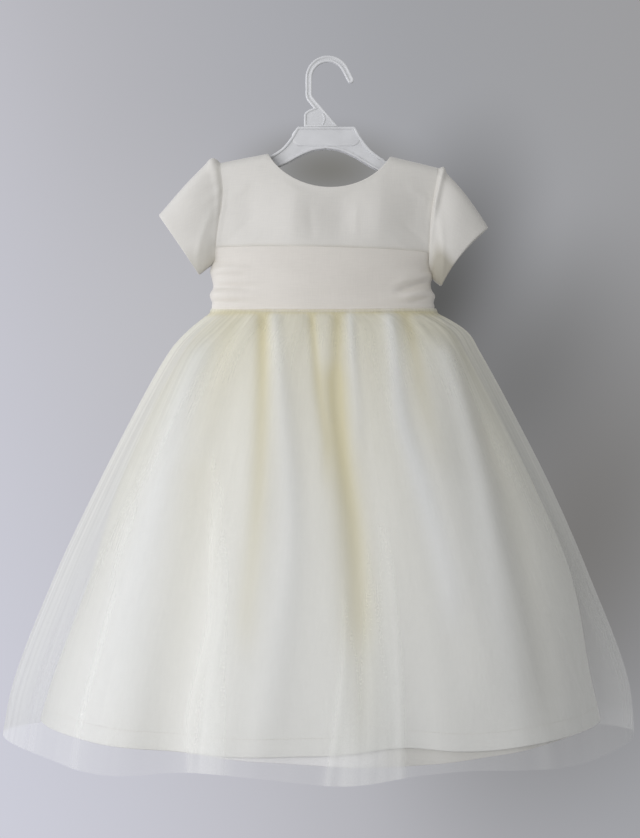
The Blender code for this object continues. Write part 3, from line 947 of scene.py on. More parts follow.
@dataclass(frozen=True)
class SkirtForm:
    """The form of one skirt layer, which flares from the waist and falls in broad folds."""

    levels: LevelTable
    width_at_waist: float = 0.30
    growth: float = 0.8
    full_depth: float = 0.030
    side_power: int = 8
    front_folds: tuple[SkirtFold, ...] = table(
        SkirtFold,
        (-1040, -2080, 400, 40),
        (-880, -1500, 300, -40),
        (-600, -880, 360, 60),
        (-200, -200, 400, -40),
        (140, 680, 340, -70),
        (480, 1180, 260, 20),
        (740, 1650, 300, 40),
        (980, 2120, 340, -30),
    )
    back_folds: tuple[SkirtFold, ...] = table(
        SkirtFold,
        (-900, -2100, 380, 80),
        (-620, -1350, 300, -100),
        (-300, -620, 300, 90),
        (40, 140, 340, -90),
        (340, 920, 340, 100),
        (700, 1650, 300, -80),
        (920, 2220, 300, 80),
    )

    def points(self, form: DressForm, side: Side, s: Array, z: Array) -> Array:
        """Places the layer's surface.

        Args:
            form: The dress's form.
            side: The front or the back.
            s: The places across, from -1 to 1.
            z: The heights.

        Returns:
            The points of the surface there.
        """
        s, z = np.broadcast_arrays(s, z)
        top = form.skirt_top_z
        at = np.minimum(z, top - form.skirt_straight)
        x = self.levels.x(s, at)
        depth = self.levels.depth(side, at) * form.lens(s)
        down = (top - at) / (top - min(row.z for row in self.levels.rows))
        swell = np.zeros_like(x)
        for fold in self.front_folds if side is Side.FRONT else self.back_folds:
            fold_x = fold.x_waist + (fold.x_hem - fold.x_waist) * down
            width = fold.half_width * (self.width_at_waist + (1 - self.width_at_waist) * down)
            swell += fold.depth * bell(x - fold_x, width)
        held = (1 - np.abs(s) ** self.side_power) * ease(depth / self.full_depth)
        depth = depth + swell * down**self.growth * held
        return np.stack([x, side.value * depth, z - form.sag(side, s, z)], axis=-1)


SATIN_SKIRT = SkirtForm(
    LevelTable(
        table(
            Level,
            (-6930, -3030, 2870, 1800, 680),
            (-6500, -2900, 2770, 1720, 665),
            (-5410, -2500, 2560, 1430, 620),
            (-4500, -2220, 2180, 1150, 570),
            (-3600, -1830, 1730, 850, 500),
            (-3060, -1520, 1440, 650, 440),
            (-2850, -1380, 1300, 550, 390),
            (-2641, -1205, 1105, 400, 320),
        )
    )
)
TULLE_SKIRT = SkirtForm(
    LevelTable(
        table(
            Level,
            (-7200, -3455, 3240, 2140, 910),
            (-6500, -3310, 3165, 1980, 850),
            (-5410, -2880, 2755, 1640, 760),
            (-4500, -2450, 2360, 1330, 680),
            (-3600, -1985, 1900, 1000, 600),
            (-3060, -1670, 1600, 770, 520),
            (-2850, -1480, 1460, 640, 460),
            (-2641, -1226, 1126, 421, 341),
        )
    )
)


@dataclass(frozen=True)
class Crease:
    """A soft ridge or trough along a line over the cloth, seen from the front, in x and z."""

    start_x: float
    start_z: float
    end_x: float
    end_z: float
    width: float
    height: float
    bow: float = 0.0
    sharpness: float = 1.6
    fade: float = 0.35

    def relief(self, points: Array) -> Array:
        """Shapes the crease.

        Args:
            points: Points of the cloth.

        Returns:
            How far it lifts the cloth at each.
        """
        run = (self.end_x - self.start_x, self.end_z - self.start_z)
        length = math.hypot(*run)
        dx, dz = points[..., 0] - self.start_x, points[..., 2] - self.start_z
        t = (dx * run[0] + dz * run[1]) / length**2
        across = (dz * run[0] - dx * run[1]) / length - 4 * self.bow * t * (1 - t)
        ends = ease(t / self.fade) * ease((1 - t) / self.fade)
        return self.height * np.exp(-np.abs(across / self.width) ** self.sharpness) * ends


def creased(creases: tuple[Crease, ...], points: Array) -> Array:
    """The relief of all the creases at the points."""
    return sum(crease.relief(points) for crease in creases)


@dataclass(frozen=True)
class Gathers:
    """Short gathers below a seam: uneven ridges that fade out at uneven lengths.

    The reach is how far below the seam a typical gather goes. The ranges are what the gathers are
    drawn from: how far off its even place each lies, how it drifts, its width, in shares of the
    spacing, its strength and its length.
    """

    count: int
    seed: int
    reach: float
    off_place: float = 0.38
    drift: float = 0.6
    widths: Pair = (0.34, 0.58)
    strengths: Pair = (0.35, 1.0)
    directions: Triple = (1.0, 1.0, -0.7)
    lengths: Pair = (0.25, 1.5)
    length_power: float = 1.6
    fade_power: float = 1.5

    def relief(self, places: Array, down: Array) -> Array:
        """Draws the gathers.

        Args:
            places: Where each column is in the cut cloth, from 0 to 1.
            down: How far each point is below the seam, in the units of the reach.

        Returns:
            Their relief, from about -1 to 1.
        """
        dice = np.random.default_rng(self.seed)
        total = np.zeros(np.broadcast_shapes(places.shape, down.shape))
        spacing = 1.0 / self.count
        for number in range(self.count):
            at = (number + 0.5 + dice.uniform(-self.off_place, self.off_place)) * spacing
            drift = dice.uniform(-self.drift, self.drift) * spacing
            width = spacing * dice.uniform(*self.widths)
            strength = dice.uniform(*self.strengths) * dice.choice(self.directions)
            length = self.reach * dice.uniform(*self.lengths) ** self.length_power
            fade = np.exp(-((down / length) ** self.fade_power))
            total += strength * fade * bell(places - at - drift * down, width * (1 + down))
        return total


@dataclass(frozen=True)
class WaistGathers:
    """A skirt's gathers in front and at the back: their counts and seeds, and their reaches.

    The fine gathers lie between the long ones, three to each.
    """

    front: tuple[int, int]
    back: tuple[int, int]
    length: float
    reach: float
    fine_reach: float

    def reliefs(self, side: Side, places: Array, below: Array) -> tuple[Array, Array]:
        """Draws the gathers of one side.

        Args:
            side: The front or the back.
            places: Where each column is in the cut cloth, from 0 to 1.
            below: How far each point is below the waist.

        Returns:
            The relief of the long gathers and of the fine ones, each from about -1 to 1.
        """
        count, seed = self.front if side is Side.FRONT else self.back
        down = below / self.length
        fine = Gathers(3 * count, seed + 1, self.fine_reach).relief(places, down)
        return Gathers(count, seed, self.reach).relief(places, down), fine


# --- Stitches ---


@dataclass(frozen=True)
class StitchRow:
    """A row of machine stitches along a line, made by geometry nodes."""

    pitch: float = 0.0028
    length: float = 0.0021
    thread: float = 0.00022
    raised: float = 0.00012

    def inputs(self) -> dict[str, float]:
        """The node tree's named sizes."""
        sizes = (self.pitch, self.length, self.thread)
        return dict(zip(("Stitch pitch", "Stitch length", "Thread radius"), sizes))

    def tree(self, thread_finish: Material) -> bpy.types.NodeTree:
        """Sets a short thread at every pitch along the given edges.

        Args:
            thread_finish: The thread's finish.

        Returns:
            The node tree.
        """
        tree = bpy.data.node_groups.new("Stitch row", "GeometryNodeTree")
        geometry = {"name": "Geometry", "socket_type": "NodeSocketGeometry"}
        tree.interface.new_socket(in_out="INPUT", **geometry)
        for name, value in self.inputs().items():
            socket = tree.interface.new_socket(name, in_out="INPUT", socket_type="NodeSocketFloat")
            socket.default_value = value
        tree.interface.new_socket(in_out="OUTPUT", **geometry)
        work = NodeWork(tree)
        given = work.add("NodeGroupInput").outputs
        line = work.node("GeometryNodeMeshToCurve", {"Mesh": given["Geometry"]})
        spacing = {"Curve": line, "Length": given["Stitch pitch"]}
        spaced = work.node("GeometryNodeResampleCurve", spacing, mode="LENGTH")
        tangent = work.node("GeometryNodeInputTangent")
        turn = work.node("FunctionNodeAlignEulerToVector", {"Vector": tangent}, axis="Z")
        ball = {"Segments": 6, "Rings": 5, "Radius": 1.0}
        half = work.math("MULTIPLY", given["Stitch length"], 0.5)
        thread = given["Thread radius"]
        placed = {
            "Points": spaced,
            "Instance": work.node("GeometryNodeMeshUVSphere", ball, "Mesh"),
            "Rotation": turn,
            "Scale": work.node("ShaderNodeCombineXYZ", {"X": thread, "Y": thread, "Z": half}),
        }
        placed = work.node("GeometryNodeInstanceOnPoints", placed)
        real = work.node("GeometryNodeRealizeInstances", {"Geometry": placed})
        dressed = {"Geometry": real, "Material": thread_finish}
        work.add("NodeGroupOutput", {0: work.node("GeometryNodeSetMaterial", dressed)})
        return tree

    def sew(self, name: str, lines: list[Array], thread_finish: Material) -> None:
        """Sews stitches along the lines, as one plain mesh piece.

        Args:
            name: The piece's name.
            lines: Points along each line.
            thread_finish: The thread's finish.
        """
        edges, start = [], 0
        for line in lines:
            edges.extend((start + i, start + i + 1) for i in range(len(line) - 1))
            start += len(line)
        mesh = bpy.data.meshes.new(name)
        mesh.from_pydata(np.concatenate(lines), edges, [])
        path = linked(name, mesh)
        modifier = path.modifiers.new("Stitches", "NODES")
        modifier.node_group = self.tree(thread_finish)
        for item in modifier.node_group.interface.items_tree:
            if item.in_out == "INPUT" and item.name in self.inputs():
                modifier[item.identifier] = self.inputs()[item.name]
        bpy.context.view_layer.update()
        graph = bpy.context.evaluated_depsgraph_get()
        plain = bpy.data.meshes.new_from_object(path.evaluated_get(graph))
        plain.name = name
        path.modifiers.remove(modifier)
        path.data = plain
        plain.shade_smooth()
        settle(path)


# --- Bodice ---


@dataclass
class Garment:
    """A part of the dress, with the form that it follows and the finishes that it takes."""

    form: DressForm
    finishes: Finishes


@dataclass
class Bodice(Garment):
    """The satin bodice: a front cut in one, and two back halves that meet at the centre back."""

    cloth: float = 0.0009
    edge_roll: float = 0.0009
    neck_facing: float = 0.026
    rows_low: int = 34
    rows_high: int = 76
    rows_spread: float = 1.15
    edge_hold: float = 0.85
    edge_hold_reach: float = 0.012
    seam_ridge: float = 0.0009
    seam_ridge_in: float = 0.0026
    seam_ridge_width: float = 0.0022
    seam_ridge_right: float = 0.35
    seam_ridge_top_z: float = -0.125
    seam_ridge_fade: float = 0.030
    # A painted shadow line on the bodice just above the sash: strength, height and width.
    sash_shadow: float = 0.30
    sash_shadow_above: float = 0.0012
    sash_shadow_width: float = 0.0020
    cuts: tuple[Cut, Cut, Cut] = (
        ((0.252, 0.170), 0.0385), ((0.128, 0.170), 0.0196), ((0.122, 0.170), 0.0187)
    )
    front_creases: tuple[Crease, ...] = tuple(
        replace(crease, fade=0.5)
        for crease in table(
            Crease,
            (-320, -1160, -380, -2140, 220, 40),
            (140, -1240, 120, -2140, 200, -30),
            (560, -1120, 500, -2140, 200, 34),
            (-840, -1120, -800, -2100, 180, -24),
            (940, -1140, 880, -2100, 160, -18),
        )
    ) + table(
        Crease,
        (-1120, -2120, -640, -1840, 45, 11),
        (-1120, -1980, -740, -1640, 38, -9),
        (-1100, -1520, -780, -1300, 50, 9),
        (1040, -2130, 600, -1880, 45, 10),
        (1060, -1960, 720, -1700, 40, -9),
        (1100, -1540, 800, -1320, 50, 9),
        (-520, -2000, 340, -1970, 35, 6),
        (-200, -1500, -160, -1980, 50, -6),
        (300, -1480, 270, -1980, 45, 6),
    )
    back_creases: tuple[Crease, ...] = tuple(
        replace(crease, sharpness=2.0)
        for crease in table(
            Crease,
            (-600, -1300, -520, -2000, 150, 18),
            (580, -1300, 520, -2000, 140, 17),
            (-840, -1200, -800, -2000, 120, -14),
            (840, -1240, 780, -1960, 120, -14),
        )
    ) + table(
        Crease,
        (-1120, -2030, -500, -1800, 45, 10),
        (1040, -2040, 440, -1840, 45, 9),
        (-1060, -1700, -620, -1500, 50, -8),
        (1040, -1660, 660, -1480, 45, -7),
        (-240, -1400, -280, -1960, 60, 7),
        (260, -1420, 240, -1960, 55, 7),
    )

    def rows(self, s: Array, side: Side) -> Array:
        """Spaces the rows, from the waist to the shoulder or the neck.

        Args:
            s: The columns' places across.
            side: The front or the back.

        Returns:
            The heights of the points at each column.
        """
        form = self.form
        low = np.linspace(form.waist_z, form.sash_top_z, self.rows_low, endpoint=False)
        share = np.sin(np.linspace(0.0, math.pi / 2, self.rows_high)) ** self.rows_spread
        high = form.sash_top_z + (form.top_edge(s, side) - form.sash_top_z) * share[:, None]
        return np.concatenate([np.broadcast_to(low[:, None], (len(low), len(s))), high])

    def allowance(self, s: Array, z: Array) -> Array:
        """The ridge of the armhole seam's allowance under the cloth.

        Args:
            s: The columns' places across.
            z: The heights of the points.

        Returns:
            The ridge's height at each point.
        """
        form = self.form
        off = (1 - np.abs(s)) * form.shoulder_half_width - self.seam_ridge_in
        over = np.where(z > form.underarm_z, 1.0, 0.0)
        fade = ease((self.seam_ridge_top_z - z) / self.seam_ridge_fade)
        strength = np.where(s < 0, 1.0, self.seam_ridge_right) * fade
        return self.seam_ridge * bell(off, self.seam_ridge_width) * over * strength

    def grid(self, side: Side, s: Array) -> Grid:
        """Makes a piece's surface, with its creases and its turned neck edge.

        Args:
            side: The front or the back.
            s: The columns' places across.

        Returns:
            The piece's outer face.
        """
        z = self.rows(s, side)
        flat = Grid(self.form.eased_torso(side, s[None, :], z)).facing_out()
        creases = self.front_creases if side is Side.FRONT else self.back_creases
        relief = creased(creases, flat.points)
        from_edge = self.edge_distance(flat.points)
        held = 1 - self.edge_hold * ease(from_edge / -self.edge_hold_reach + 1)
        made = flat.moved(self.form.satin / 2 + relief * held + self.allowance(s[None, :], z))
        # Painted shadow: a thin dark line on the bodice just above the sash.
        above_sash = z - self.form.sash_top_z - self.sash_shadow_above
        made.values["tint"] = self.sash_shadow * bell(above_sash, self.sash_shadow_width)
        return made.turned_edge(self.edge_roll, self.neck_facing)

    @staticmethod
    def edge_distance(points: Array) -> Array:
        """How far each point lies below its column's top edge, along the column."""
        steps = np.linalg.norm(np.diff(points, axis=0), axis=-1)
        return np.pad(np.cumsum(steps[::-1], axis=0)[::-1], ((0, 1), (0, 0)))

    def build(self) -> None:
        """Makes the three pieces."""
        satin = Cloth(self.finishes.satin, Slot.SATIN, self.cloth, "hanger_body")
        panels = self.form.panels("bodice", self.form.torso_columns())
        for (name, side, columns), cut in zip(panels, self.cuts):
            satin.sew(name, self.grid(side, columns), *cut)


# --- Sleeves ---


@dataclass(frozen=True)
class SleeveShape:
    """A cap sleeve: its side, its cuff's corners in x and z, and how it bows and swells.

    The cap is how far its head stands out and up, in x and z, just past the armhole.
    """

    hand: Hand
    cuff_top: Pair
    cuff_bottom: Pair
    bow: float
    crown: float
    cap: Pair
    seam_ridge: float
    # How strongly the sleeve's underside takes painted shade.
    inner_tint: float
    puckers: int
    seed: int


@dataclass
class Sleeves(Garment):
    """The two set-in cap sleeves, gathered a little over the cap and turned in at the cuff."""

    cloth: float = 0.0009
    cut: Cut = ((0.205, 0.088), 0.0150)
    cuff_roll: float = 0.0015
    cuff_facing: float = 0.014
    around: int = 144
    along: int = 44
    armhole_seam: float = 0.0014
    cuff_depth_front: float = 0.0190
    cuff_depth_back: float = 0.0210
    cuff_back_longer: float = 0.0005
    cap_at: float = 0.13
    crown_below: float = 0.4
    cuff_roundness: float = 0.9
    puff: float = 0.0050
    pucker_height: float = 0.0012
    pucker_reach: float = 0.22
    pucker_end: float = 0.3
    under_cap: float = 0.2
    cap_from: float = -0.25
    cap_fade: float = 0.6
    seam_ridge_at: float = 0.085
    seam_ridge_width: float = 0.055
    soft_height: float = 0.0012
    soft_turn: float = 1.3
    slant_creases: tuple[tuple[float, float, float, float], ...] = (
        (0.0008, 1.2, 1.4, 0.20),
        (-0.0009, 2.0, -0.8, 0.24),
    )
    # A painted shadow strip beside the armhole seam over the cap: its strength and width.
    seam_shadow: float = 0.15
    seam_shadow_width: float = 0.030
    shade_from: float = 0.2
    shade_fade: float = 0.5
    # How fast the underside's painted shade comes in from the armhole.
    inner_tint_rise: float = 1.6
    armhole_fade: float = 0.06
    cuff_fade: float = 0.08
    cuff_relief: float = 0.1
    rows_spread: float = 1.2
    tucks: tuple[Pair, ...] = ((0.0045, 0.93), (0.0030, 0.955), (0.0012, 0.985))
    shapes: tuple[SleeveShape, ...] = (
        SleeveShape(
            Hand.LEFT, (-0.1780, -0.1620), (-0.1360, -0.2240), 0.0005, 0.0010,
            (-0.0030, 0.0094), 0.0010, 0.30, 32, 5,
        ),
        SleeveShape(
            Hand.RIGHT, (0.1685, -0.1750), (0.1190, -0.2360), 0.0045, 0.0068,
            (0.0000, 0.0012), 0.0032, 1.60, 28, 9,
        ),
    )

    def armhole(self, shape: SleeveShape, angle: Array) -> Array:
        """Follows the bodice's armhole.

        Args:
            shape: The sleeve.
            angle: Where each point is round it, from the shoulder by the front to the underarm.

        Returns:
            The points of the seam.
        """
        form, gap = self.form, self.armhole_seam / 2
        side = np.where(angle <= math.pi, -1.0, 1.0)
        tip_z, low_z = form.shoulder_tip_z - gap, form.underarm_z + gap
        z = (tip_z + low_z) / 2 + (tip_z - low_z) / 2 * np.cos(angle)
        edge = form.torso_levels.column(str(shape.hand), z)
        return form.hung(np.stack([edge, side * form.armhole(z, side < 0), z], axis=-1))

    def surface(self, shape: SleeveShape, t: Array, angle: Array) -> Array:
        """Spans the sleeve from the armhole to the cuff.

        Args:
            shape: The sleeve.
            t: How far along it each point is, from 0 at the armhole to 1 at the cuff.
            angle: Where it is round it, from the shoulder by the front to the underarm.

        Returns:
            The points of the surface.
        """
        cosine, sine = np.cos(angle), np.sin(angle)
        side = np.where(angle <= math.pi, -1.0, 1.0)
        armhole = self.armhole(shape, angle)
        top = np.array((shape.cuff_top[0], 0.0, shape.cuff_top[1]))
        bottom = np.array((shape.cuff_bottom[0], 0.0, shape.cuff_bottom[1]))
        along = unit(bottom - top)
        outward = np.array((along[2], 0.0, -along[0])) * -shape.hand.value
        cuff = (top + bottom) / 2 + (top - bottom) / 2 * cosine[..., None]
        depth = np.where(side < 0, self.cuff_depth_front, self.cuff_depth_back)
        cuff[..., 1] = side * depth * np.abs(sine) ** self.cuff_roundness
        cuff = cuff - outward * (shape.bow * sine**2)[..., None]
        longer = np.where(side > 0, self.cuff_back_longer * np.abs(sine), 0.0)
        cuff = cuff + outward * longer[..., None]
        upper, lower = np.maximum(0.0, cosine), np.maximum(0.0, -cosine)
        flat = np.zeros_like(angle)
        crown = (upper - self.crown_below * lower) * shape.crown
        swell = np.sin(math.pi * t)[..., None] * np.stack([flat, -sine * self.puff, crown], axis=-1)
        head = np.sin(math.pi / 2 * np.minimum(t / self.cap_at, 1.0))
        head = head * np.minimum(1.0, (1 - t) / (1 - self.cap_at)) * upper * upper
        cap = np.stack([head * shape.cap[0], flat, head * shape.cap[1]], axis=-1)
        return armhole + (cuff - armhole) * t[..., None] + swell + cap

    def relief(self, shape: SleeveShape, t: Array, angle: Array) -> Array:
        """Shapes the puckers over the cap, the ridge beside the seam and a few soft creases.

        Args:
            shape: The sleeve.
            t: How far along it each point is, from 0 at the armhole to 1 at the cuff.
            angle: Where it is round it.

        Returns:
            How far each point lies off the smooth sleeve.
        """
        places = np.mod(angle / (2 * math.pi) + 0.5, 1.0)
        over_cap = ease((np.cos(angle) - self.cap_from) / self.cap_fade)
        over_cap = self.under_cap + (1 - self.under_cap) * over_cap
        puckers = Gathers(shape.puckers, shape.seed, self.pucker_reach).relief(places, t)
        ridge = bell(t - self.seam_ridge_at, self.seam_ridge_width) * shape.seam_ridge * over_cap
        middle = np.sin(math.pi * t)
        soft = self.soft_height * np.sin(3 * angle + self.soft_turn * shape.seed) * middle**2
        slanted = sum(
            height * bell(angle - start - run * t, width) * middle
            for height, start, run, width in self.slant_creases
        )
        puckers = puckers * over_cap * self.pucker_height * ease((1 - t) / self.pucker_end)
        return puckers + ridge + soft + slanted

    def grid(self, shape: SleeveShape) -> Grid:
        """Makes a sleeve's surface, tucked into the armhole and turned in at the cuff.

        Args:
            shape: The sleeve.

        Returns:
            Its outer face.
        """
        angles = np.linspace(0.0, 2 * math.pi, self.around, endpoint=False)
        shares = np.linspace(0.0, 1.0, self.along) ** self.rows_spread
        t, angle = np.meshgrid(shares, angles, indexing="ij")
        flat = Grid(self.surface(shape, t, angle), closed=True).facing_out()
        relief = self.relief(shape, t, angle) * ease(t / self.armhole_fade)
        relief = relief * ease((1 - t) / self.cuff_fade + self.cuff_relief)
        made = flat.moved(self.form.satin / 2 + relief)
        # Painted shade on the underside from the armhole out, and a painted shadow by the seam over
        # the cap.
        below = ease((np.cos(angle + math.pi) - self.shade_from) / self.shade_fade)
        above = ease((np.cos(angle) - self.shade_from) / self.shade_fade)
        tint = shape.inner_tint * below * ease(t * self.inner_tint_rise)
        shadow = self.seam_shadow * bell(t - self.seam_shadow_width, self.seam_shadow_width)
        made.values["tint"] = tint + shadow * above
        return self.tucked(made.turned_edge(self.cuff_roll, self.cuff_facing), shape.hand)

    def tucked(self, grid: Grid, hand: Hand) -> Grid:
        """Adds the seam allowance, inside the armhole.

        Args:
            grid: The sleeve's surface.
            hand: Its side.

        Returns:
            The longer surface.
        """
        ring = grid.points[0]
        middle = ring.mean(axis=0)
        allowance = [
            middle + (ring - middle) * shrink - np.array((hand.value * inwards, 0.0, 0.0))
            for inwards, shrink in self.tucks
        ]
        return grid.with_rows(allowance, [])

    def build(self) -> None:
        """Makes both sleeves."""
        satin = Cloth(self.finishes.satin, Slot.SATIN, self.cloth, "hanger_body")
        for shape in self.shapes:
            satin.sew(f"sleeve_{shape.hand}", self.grid(shape), *self.cut)


# --- Sash ---


@dataclass(frozen=True)
class SashFold:
    """A soft fold round the sash's sides: its height on the side seam, and how it rises."""

    z: float
    half_height: float
    depth: float
    rise: float


@dataclass
class Sash(Garment):
    """The wide satin sash, which is drawn in at the side seams and lies in soft folds there."""

    cloth: float = 0.0009
    edge_roll: float = 0.0009
    edge_facing: float = 0.008
    rows: int = 64
    side_dip: float = 0.0020
    dip_from: float = 0.975
    tuck_from: float = 0.955
    tuck: float = 0.75
    seam_depth: float = 0.0008
    seam_width: float = 0.012
    tuck_below_underarm: float = 0.004
    tuck_fade: float = 0.010
    edge_fades: Pair = (0.10, 0.08)
    folds_from: float = 0.45
    folds_full: float = 0.90
    cells: int = 44
    cut_widths: Triple = (0.256, 0.130, 0.124)
    cut_height: float = 0.082
    folds: tuple[SashFold, ...] = table(
        SashFold, (-2245, 80, 34, -40), (-2480, 58, 36, -30), (-2590, 26, 10, 10)
    )
    front_creases: tuple[Crease, ...] = table(
        Crease,
        (-1280, -2398, -740, -2440, 22, -20, 14),
        (-1280, -2330, -600, -2372, 34, 12, 10),
        (-1280, -2262, -820, -2302, 22, -10),
        (-1260, -2190, -760, -2222, 36, 11),
        (-1260, -2110, -900, -2136, 30, -9),
        (-1260, -2550, -840, -2574, 22, -12),
        (640, -2490, 1140, -2310, 24, -28, 10),
        (580, -2420, 1140, -2230, 36, 16, 10),
        (800, -2330, 1140, -2190, 24, -10),
        (700, -2550, 1140, -2390, 30, 14),
        (820, -2580, 1140, -2480, 22, -14),
        (-860, -2140, 300, -2120, 55, -5),
        (-600, -2500, 740, -2520, 60, -6),
        (200, -2240, 900, -2170, 50, 5),
        (-900, -2210, -200, -2260, 50, 5),
        (-500, -2340, 500, -2380, 80, 6),
    )
    back_creases: tuple[Crease, ...] = table(
        Crease,
        (-1280, -2330, -500, -2390, 30, 13),
        (-1280, -2398, -600, -2450, 22, -18),
        (-1260, -2240, -700, -2280, 26, -9),
        (500, -2460, 1140, -2330, 26, -20),
        (440, -2390, 1140, -2250, 34, 13),
        (600, -2540, 1140, -2430, 28, 12),
        (-800, -2150, -140, -2170, 50, 6),
        (140, -2190, 800, -2140, 50, 6),
    )

    def surface(self, side: Side, s: Array, z: Array) -> Grid:
        """Places the sash's middle surface, with the folds of its sides.

        Args:
            side: The front or the back.
            s: The places across, from -1 to 1.
            z: The heights.

        Returns:
            The surface.
        """
        form = self.form
        at_seam = ease((np.abs(s) - self.tuck_from) / (1 - self.tuck_from))
        above = z - form.underarm_z + self.tuck_below_underarm
        held = at_seam * ease(above / self.tuck_fade)
        lift = form.layer_step * (1 - self.tuck * held)
        base = Grid(form.eased_torso(side, s, z)).facing_out().moved(lift)
        near = ease((np.abs(s) - self.folds_from) / (self.folds_full - self.folds_from))
        swell = sum(
            fold.depth * bell(z - (fold.z + fold.rise * (1 - np.abs(s))), fold.half_height)
            for fold in self.folds
        )
        return base.moved(swell * near * (1 - held))

    def grid(self, side: Side, s: Array) -> Grid:
        """Makes a piece's surface, with both of its long edges turned in.

        Args:
            side: The front or the back.
            s: The columns' places across.

        Returns:
            The piece's outer face.
        """
        form = self.form
        dip = self.side_dip * ease((np.abs(s) - self.dip_from) / (1 - self.dip_from))
        share = (1 - np.cos(np.linspace(0.0, math.pi, self.rows)))[:, None] / 2
        z = form.waist_z + (form.sash_top_z - dip - form.waist_z) * share
        middle = self.surface(side, s[None, :], z)
        creases = self.front_creases if side is Side.FRONT else self.back_creases
        low, high = self.edge_fades
        edges = ease(share / low) * ease((1 - share) / high)
        seam = self.seam_depth * bell(1 - np.abs(s[None, :]), self.seam_width)
        made = middle.moved(form.satin / 2 + creased(creases, middle.points) * edges - seam)
        made.values["tint"] = np.zeros(made.points.shape[:2])
        for _ in range(2):
            made = made.turned_edge(self.edge_roll, self.edge_facing).backwards()
        return made

    def build(self) -> None:
        """Makes the three pieces."""
        satin = Cloth(self.finishes.sash, Slot.SASH, self.cloth, "satin_bodice_front")
        panels = self.form.panels("sash", self.form.torso_columns(self.cells))
        for (name, side, columns), width in zip(panels, self.cut_widths):
            satin.sew(name, self.grid(side, columns), (width, self.cut_height))


# --- Closure ---


@dataclass
class Closure:
    """The centre back's two strips and their covered buttons, fastened."""

    form: DressForm
    sash: Sash
    finishes: Finishes
    half_width: float = 0.0100
    below_neck: float = 0.0010
    cloth: float = 0.0008
    ripple: float = 0.00025
    columns: int = 25
    rows: int = 70
    button_radius: float = 0.0050
    dome: float = 0.99
    crown_power: float = 0.9
    rim_in: float = 0.24
    rim_drop: float = 0.62
    shank: tuple[Pair, ...] = ((0.50, -0.70), (0.30, -0.74), (0.28, -1.0), (0.0, -1.0))
    pleats: int = 11
    pleat_depth: float = 0.012
    segments: int = 40

    def build_strips(self) -> list[Array]:
        """Makes the two strips.

        Returns:
            The lines that their stitches follow.
        """
        form, finishes = self.form, self.finishes
        half = self.half_width / form.shoulder_half_width
        s = np.linspace(-half, half, self.columns)[None, :]
        neck = float(form.top_edge(np.array(0.0), Side.BACK)) - self.below_neck
        join = form.sash_top_z + form.seam + form.satin / 2
        high = np.linspace(join, neck, self.rows)[:, None]
        low = np.linspace(form.waist_z, form.sash_top_z, self.rows)[:, None]
        ripple = self.ripple * np.sin(np.linspace(0, 19, self.rows))[:, None]
        lines = []
        for name, surface, finish, slot in (
            ("bodice", Grid(form.torso(Side.BACK, s, high)), finishes.satin, Slot.SATIN),
            ("sash", self.sash.surface(Side.BACK, s, low), finishes.sash, Slot.SASH),
        ):
            over = surface.facing_out().moved(form.layer_step).moved(form.satin / 2)
            grid = over.moved(ripple * np.ones(s.shape))
            grid.values["tint"] = np.zeros(grid.points.shape[:2])
            length = float(abs(grid.points[-1, 0, 2] - grid.points[0, 0, 2]))
            cloth = Cloth(finish, slot, self.cloth, "satin_sash_front")
            cloth.sew(f"{name}_placket", grid, (2 * self.half_width, length))
            raised = grid.moved(StitchRow.raised).points
            lines += [raised[2:-2, 2], raised[2:-2, -3]]
        return lines

    def build_button(self, name: str) -> None:
        """Makes a covered button: a crowned face, a folded rim and a flat underside.

        Args:
            name: The plain solid that it stands for, which gives its place.
        """
        low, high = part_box(name)
        place, half_height = np.array((low + high) / 2), (high.y - low.y) / 2
        crown = np.linspace(0.0, math.pi / 2, 12)
        rim = np.linspace(0.0, math.pi / 2, 6)[1:]
        foot_radii, foot_levels = zip(*self.shank)
        rim_radii = 1 - self.rim_in * (1 - np.cos(rim))
        radii = [*np.sin(crown) ** self.crown_power, *rim_radii, *foot_radii]
        levels = [*self.dome * np.cos(crown), *-self.rim_drop * np.sin(rim), *foot_levels]
        radius = self.button_radius * np.array(radii)[:, None]
        level = half_height * np.array(levels)[:, None]
        turns = np.linspace(0.0, 2 * math.pi, self.segments, endpoint=False)
        radius = radius * (1 + self.pleat_depth * np.sin(self.pleats * turns) * (level < 0))
        round_it = [radius * np.cos(turns), level * np.ones_like(turns), radius * np.sin(turns)]
        points = place + np.stack(round_it, axis=-1)
        grid = Grid(points, closed=True, values={"tint": np.zeros(points.shape[:2])})
        piece = linked(f"covered_{name}", cloth_mesh(name, grid), self.finishes.button)
        self.close(piece.data)
        settle(piece, name)

    @staticmethod
    def close(mesh: bpy.types.Mesh) -> None:
        """Merges a solid's doubled points and turns all its faces outwards.

        Args:
            mesh: The solid's mesh.
        """
        shape = bmesh.new()
        shape.from_mesh(mesh)
        bmesh.ops.remove_doubles(shape, verts=shape.verts, dist=1e-6)
        bmesh.ops.recalc_face_normals(shape, faces=shape.faces)
        shape.to_mesh(mesh)
        shape.free()
        mesh.shade_smooth()

    def build(self) -> None:
        """Makes the strips, their stitches and the buttons."""
        StitchRow().sew("placket_stitches", self.build_strips(), self.finishes.thread)
        for row in ("bodice", "sash"):
            for number in (1, 2, 3):
                self.build_button(f"{row}_button_{number}")


# --- Satin skirts ---


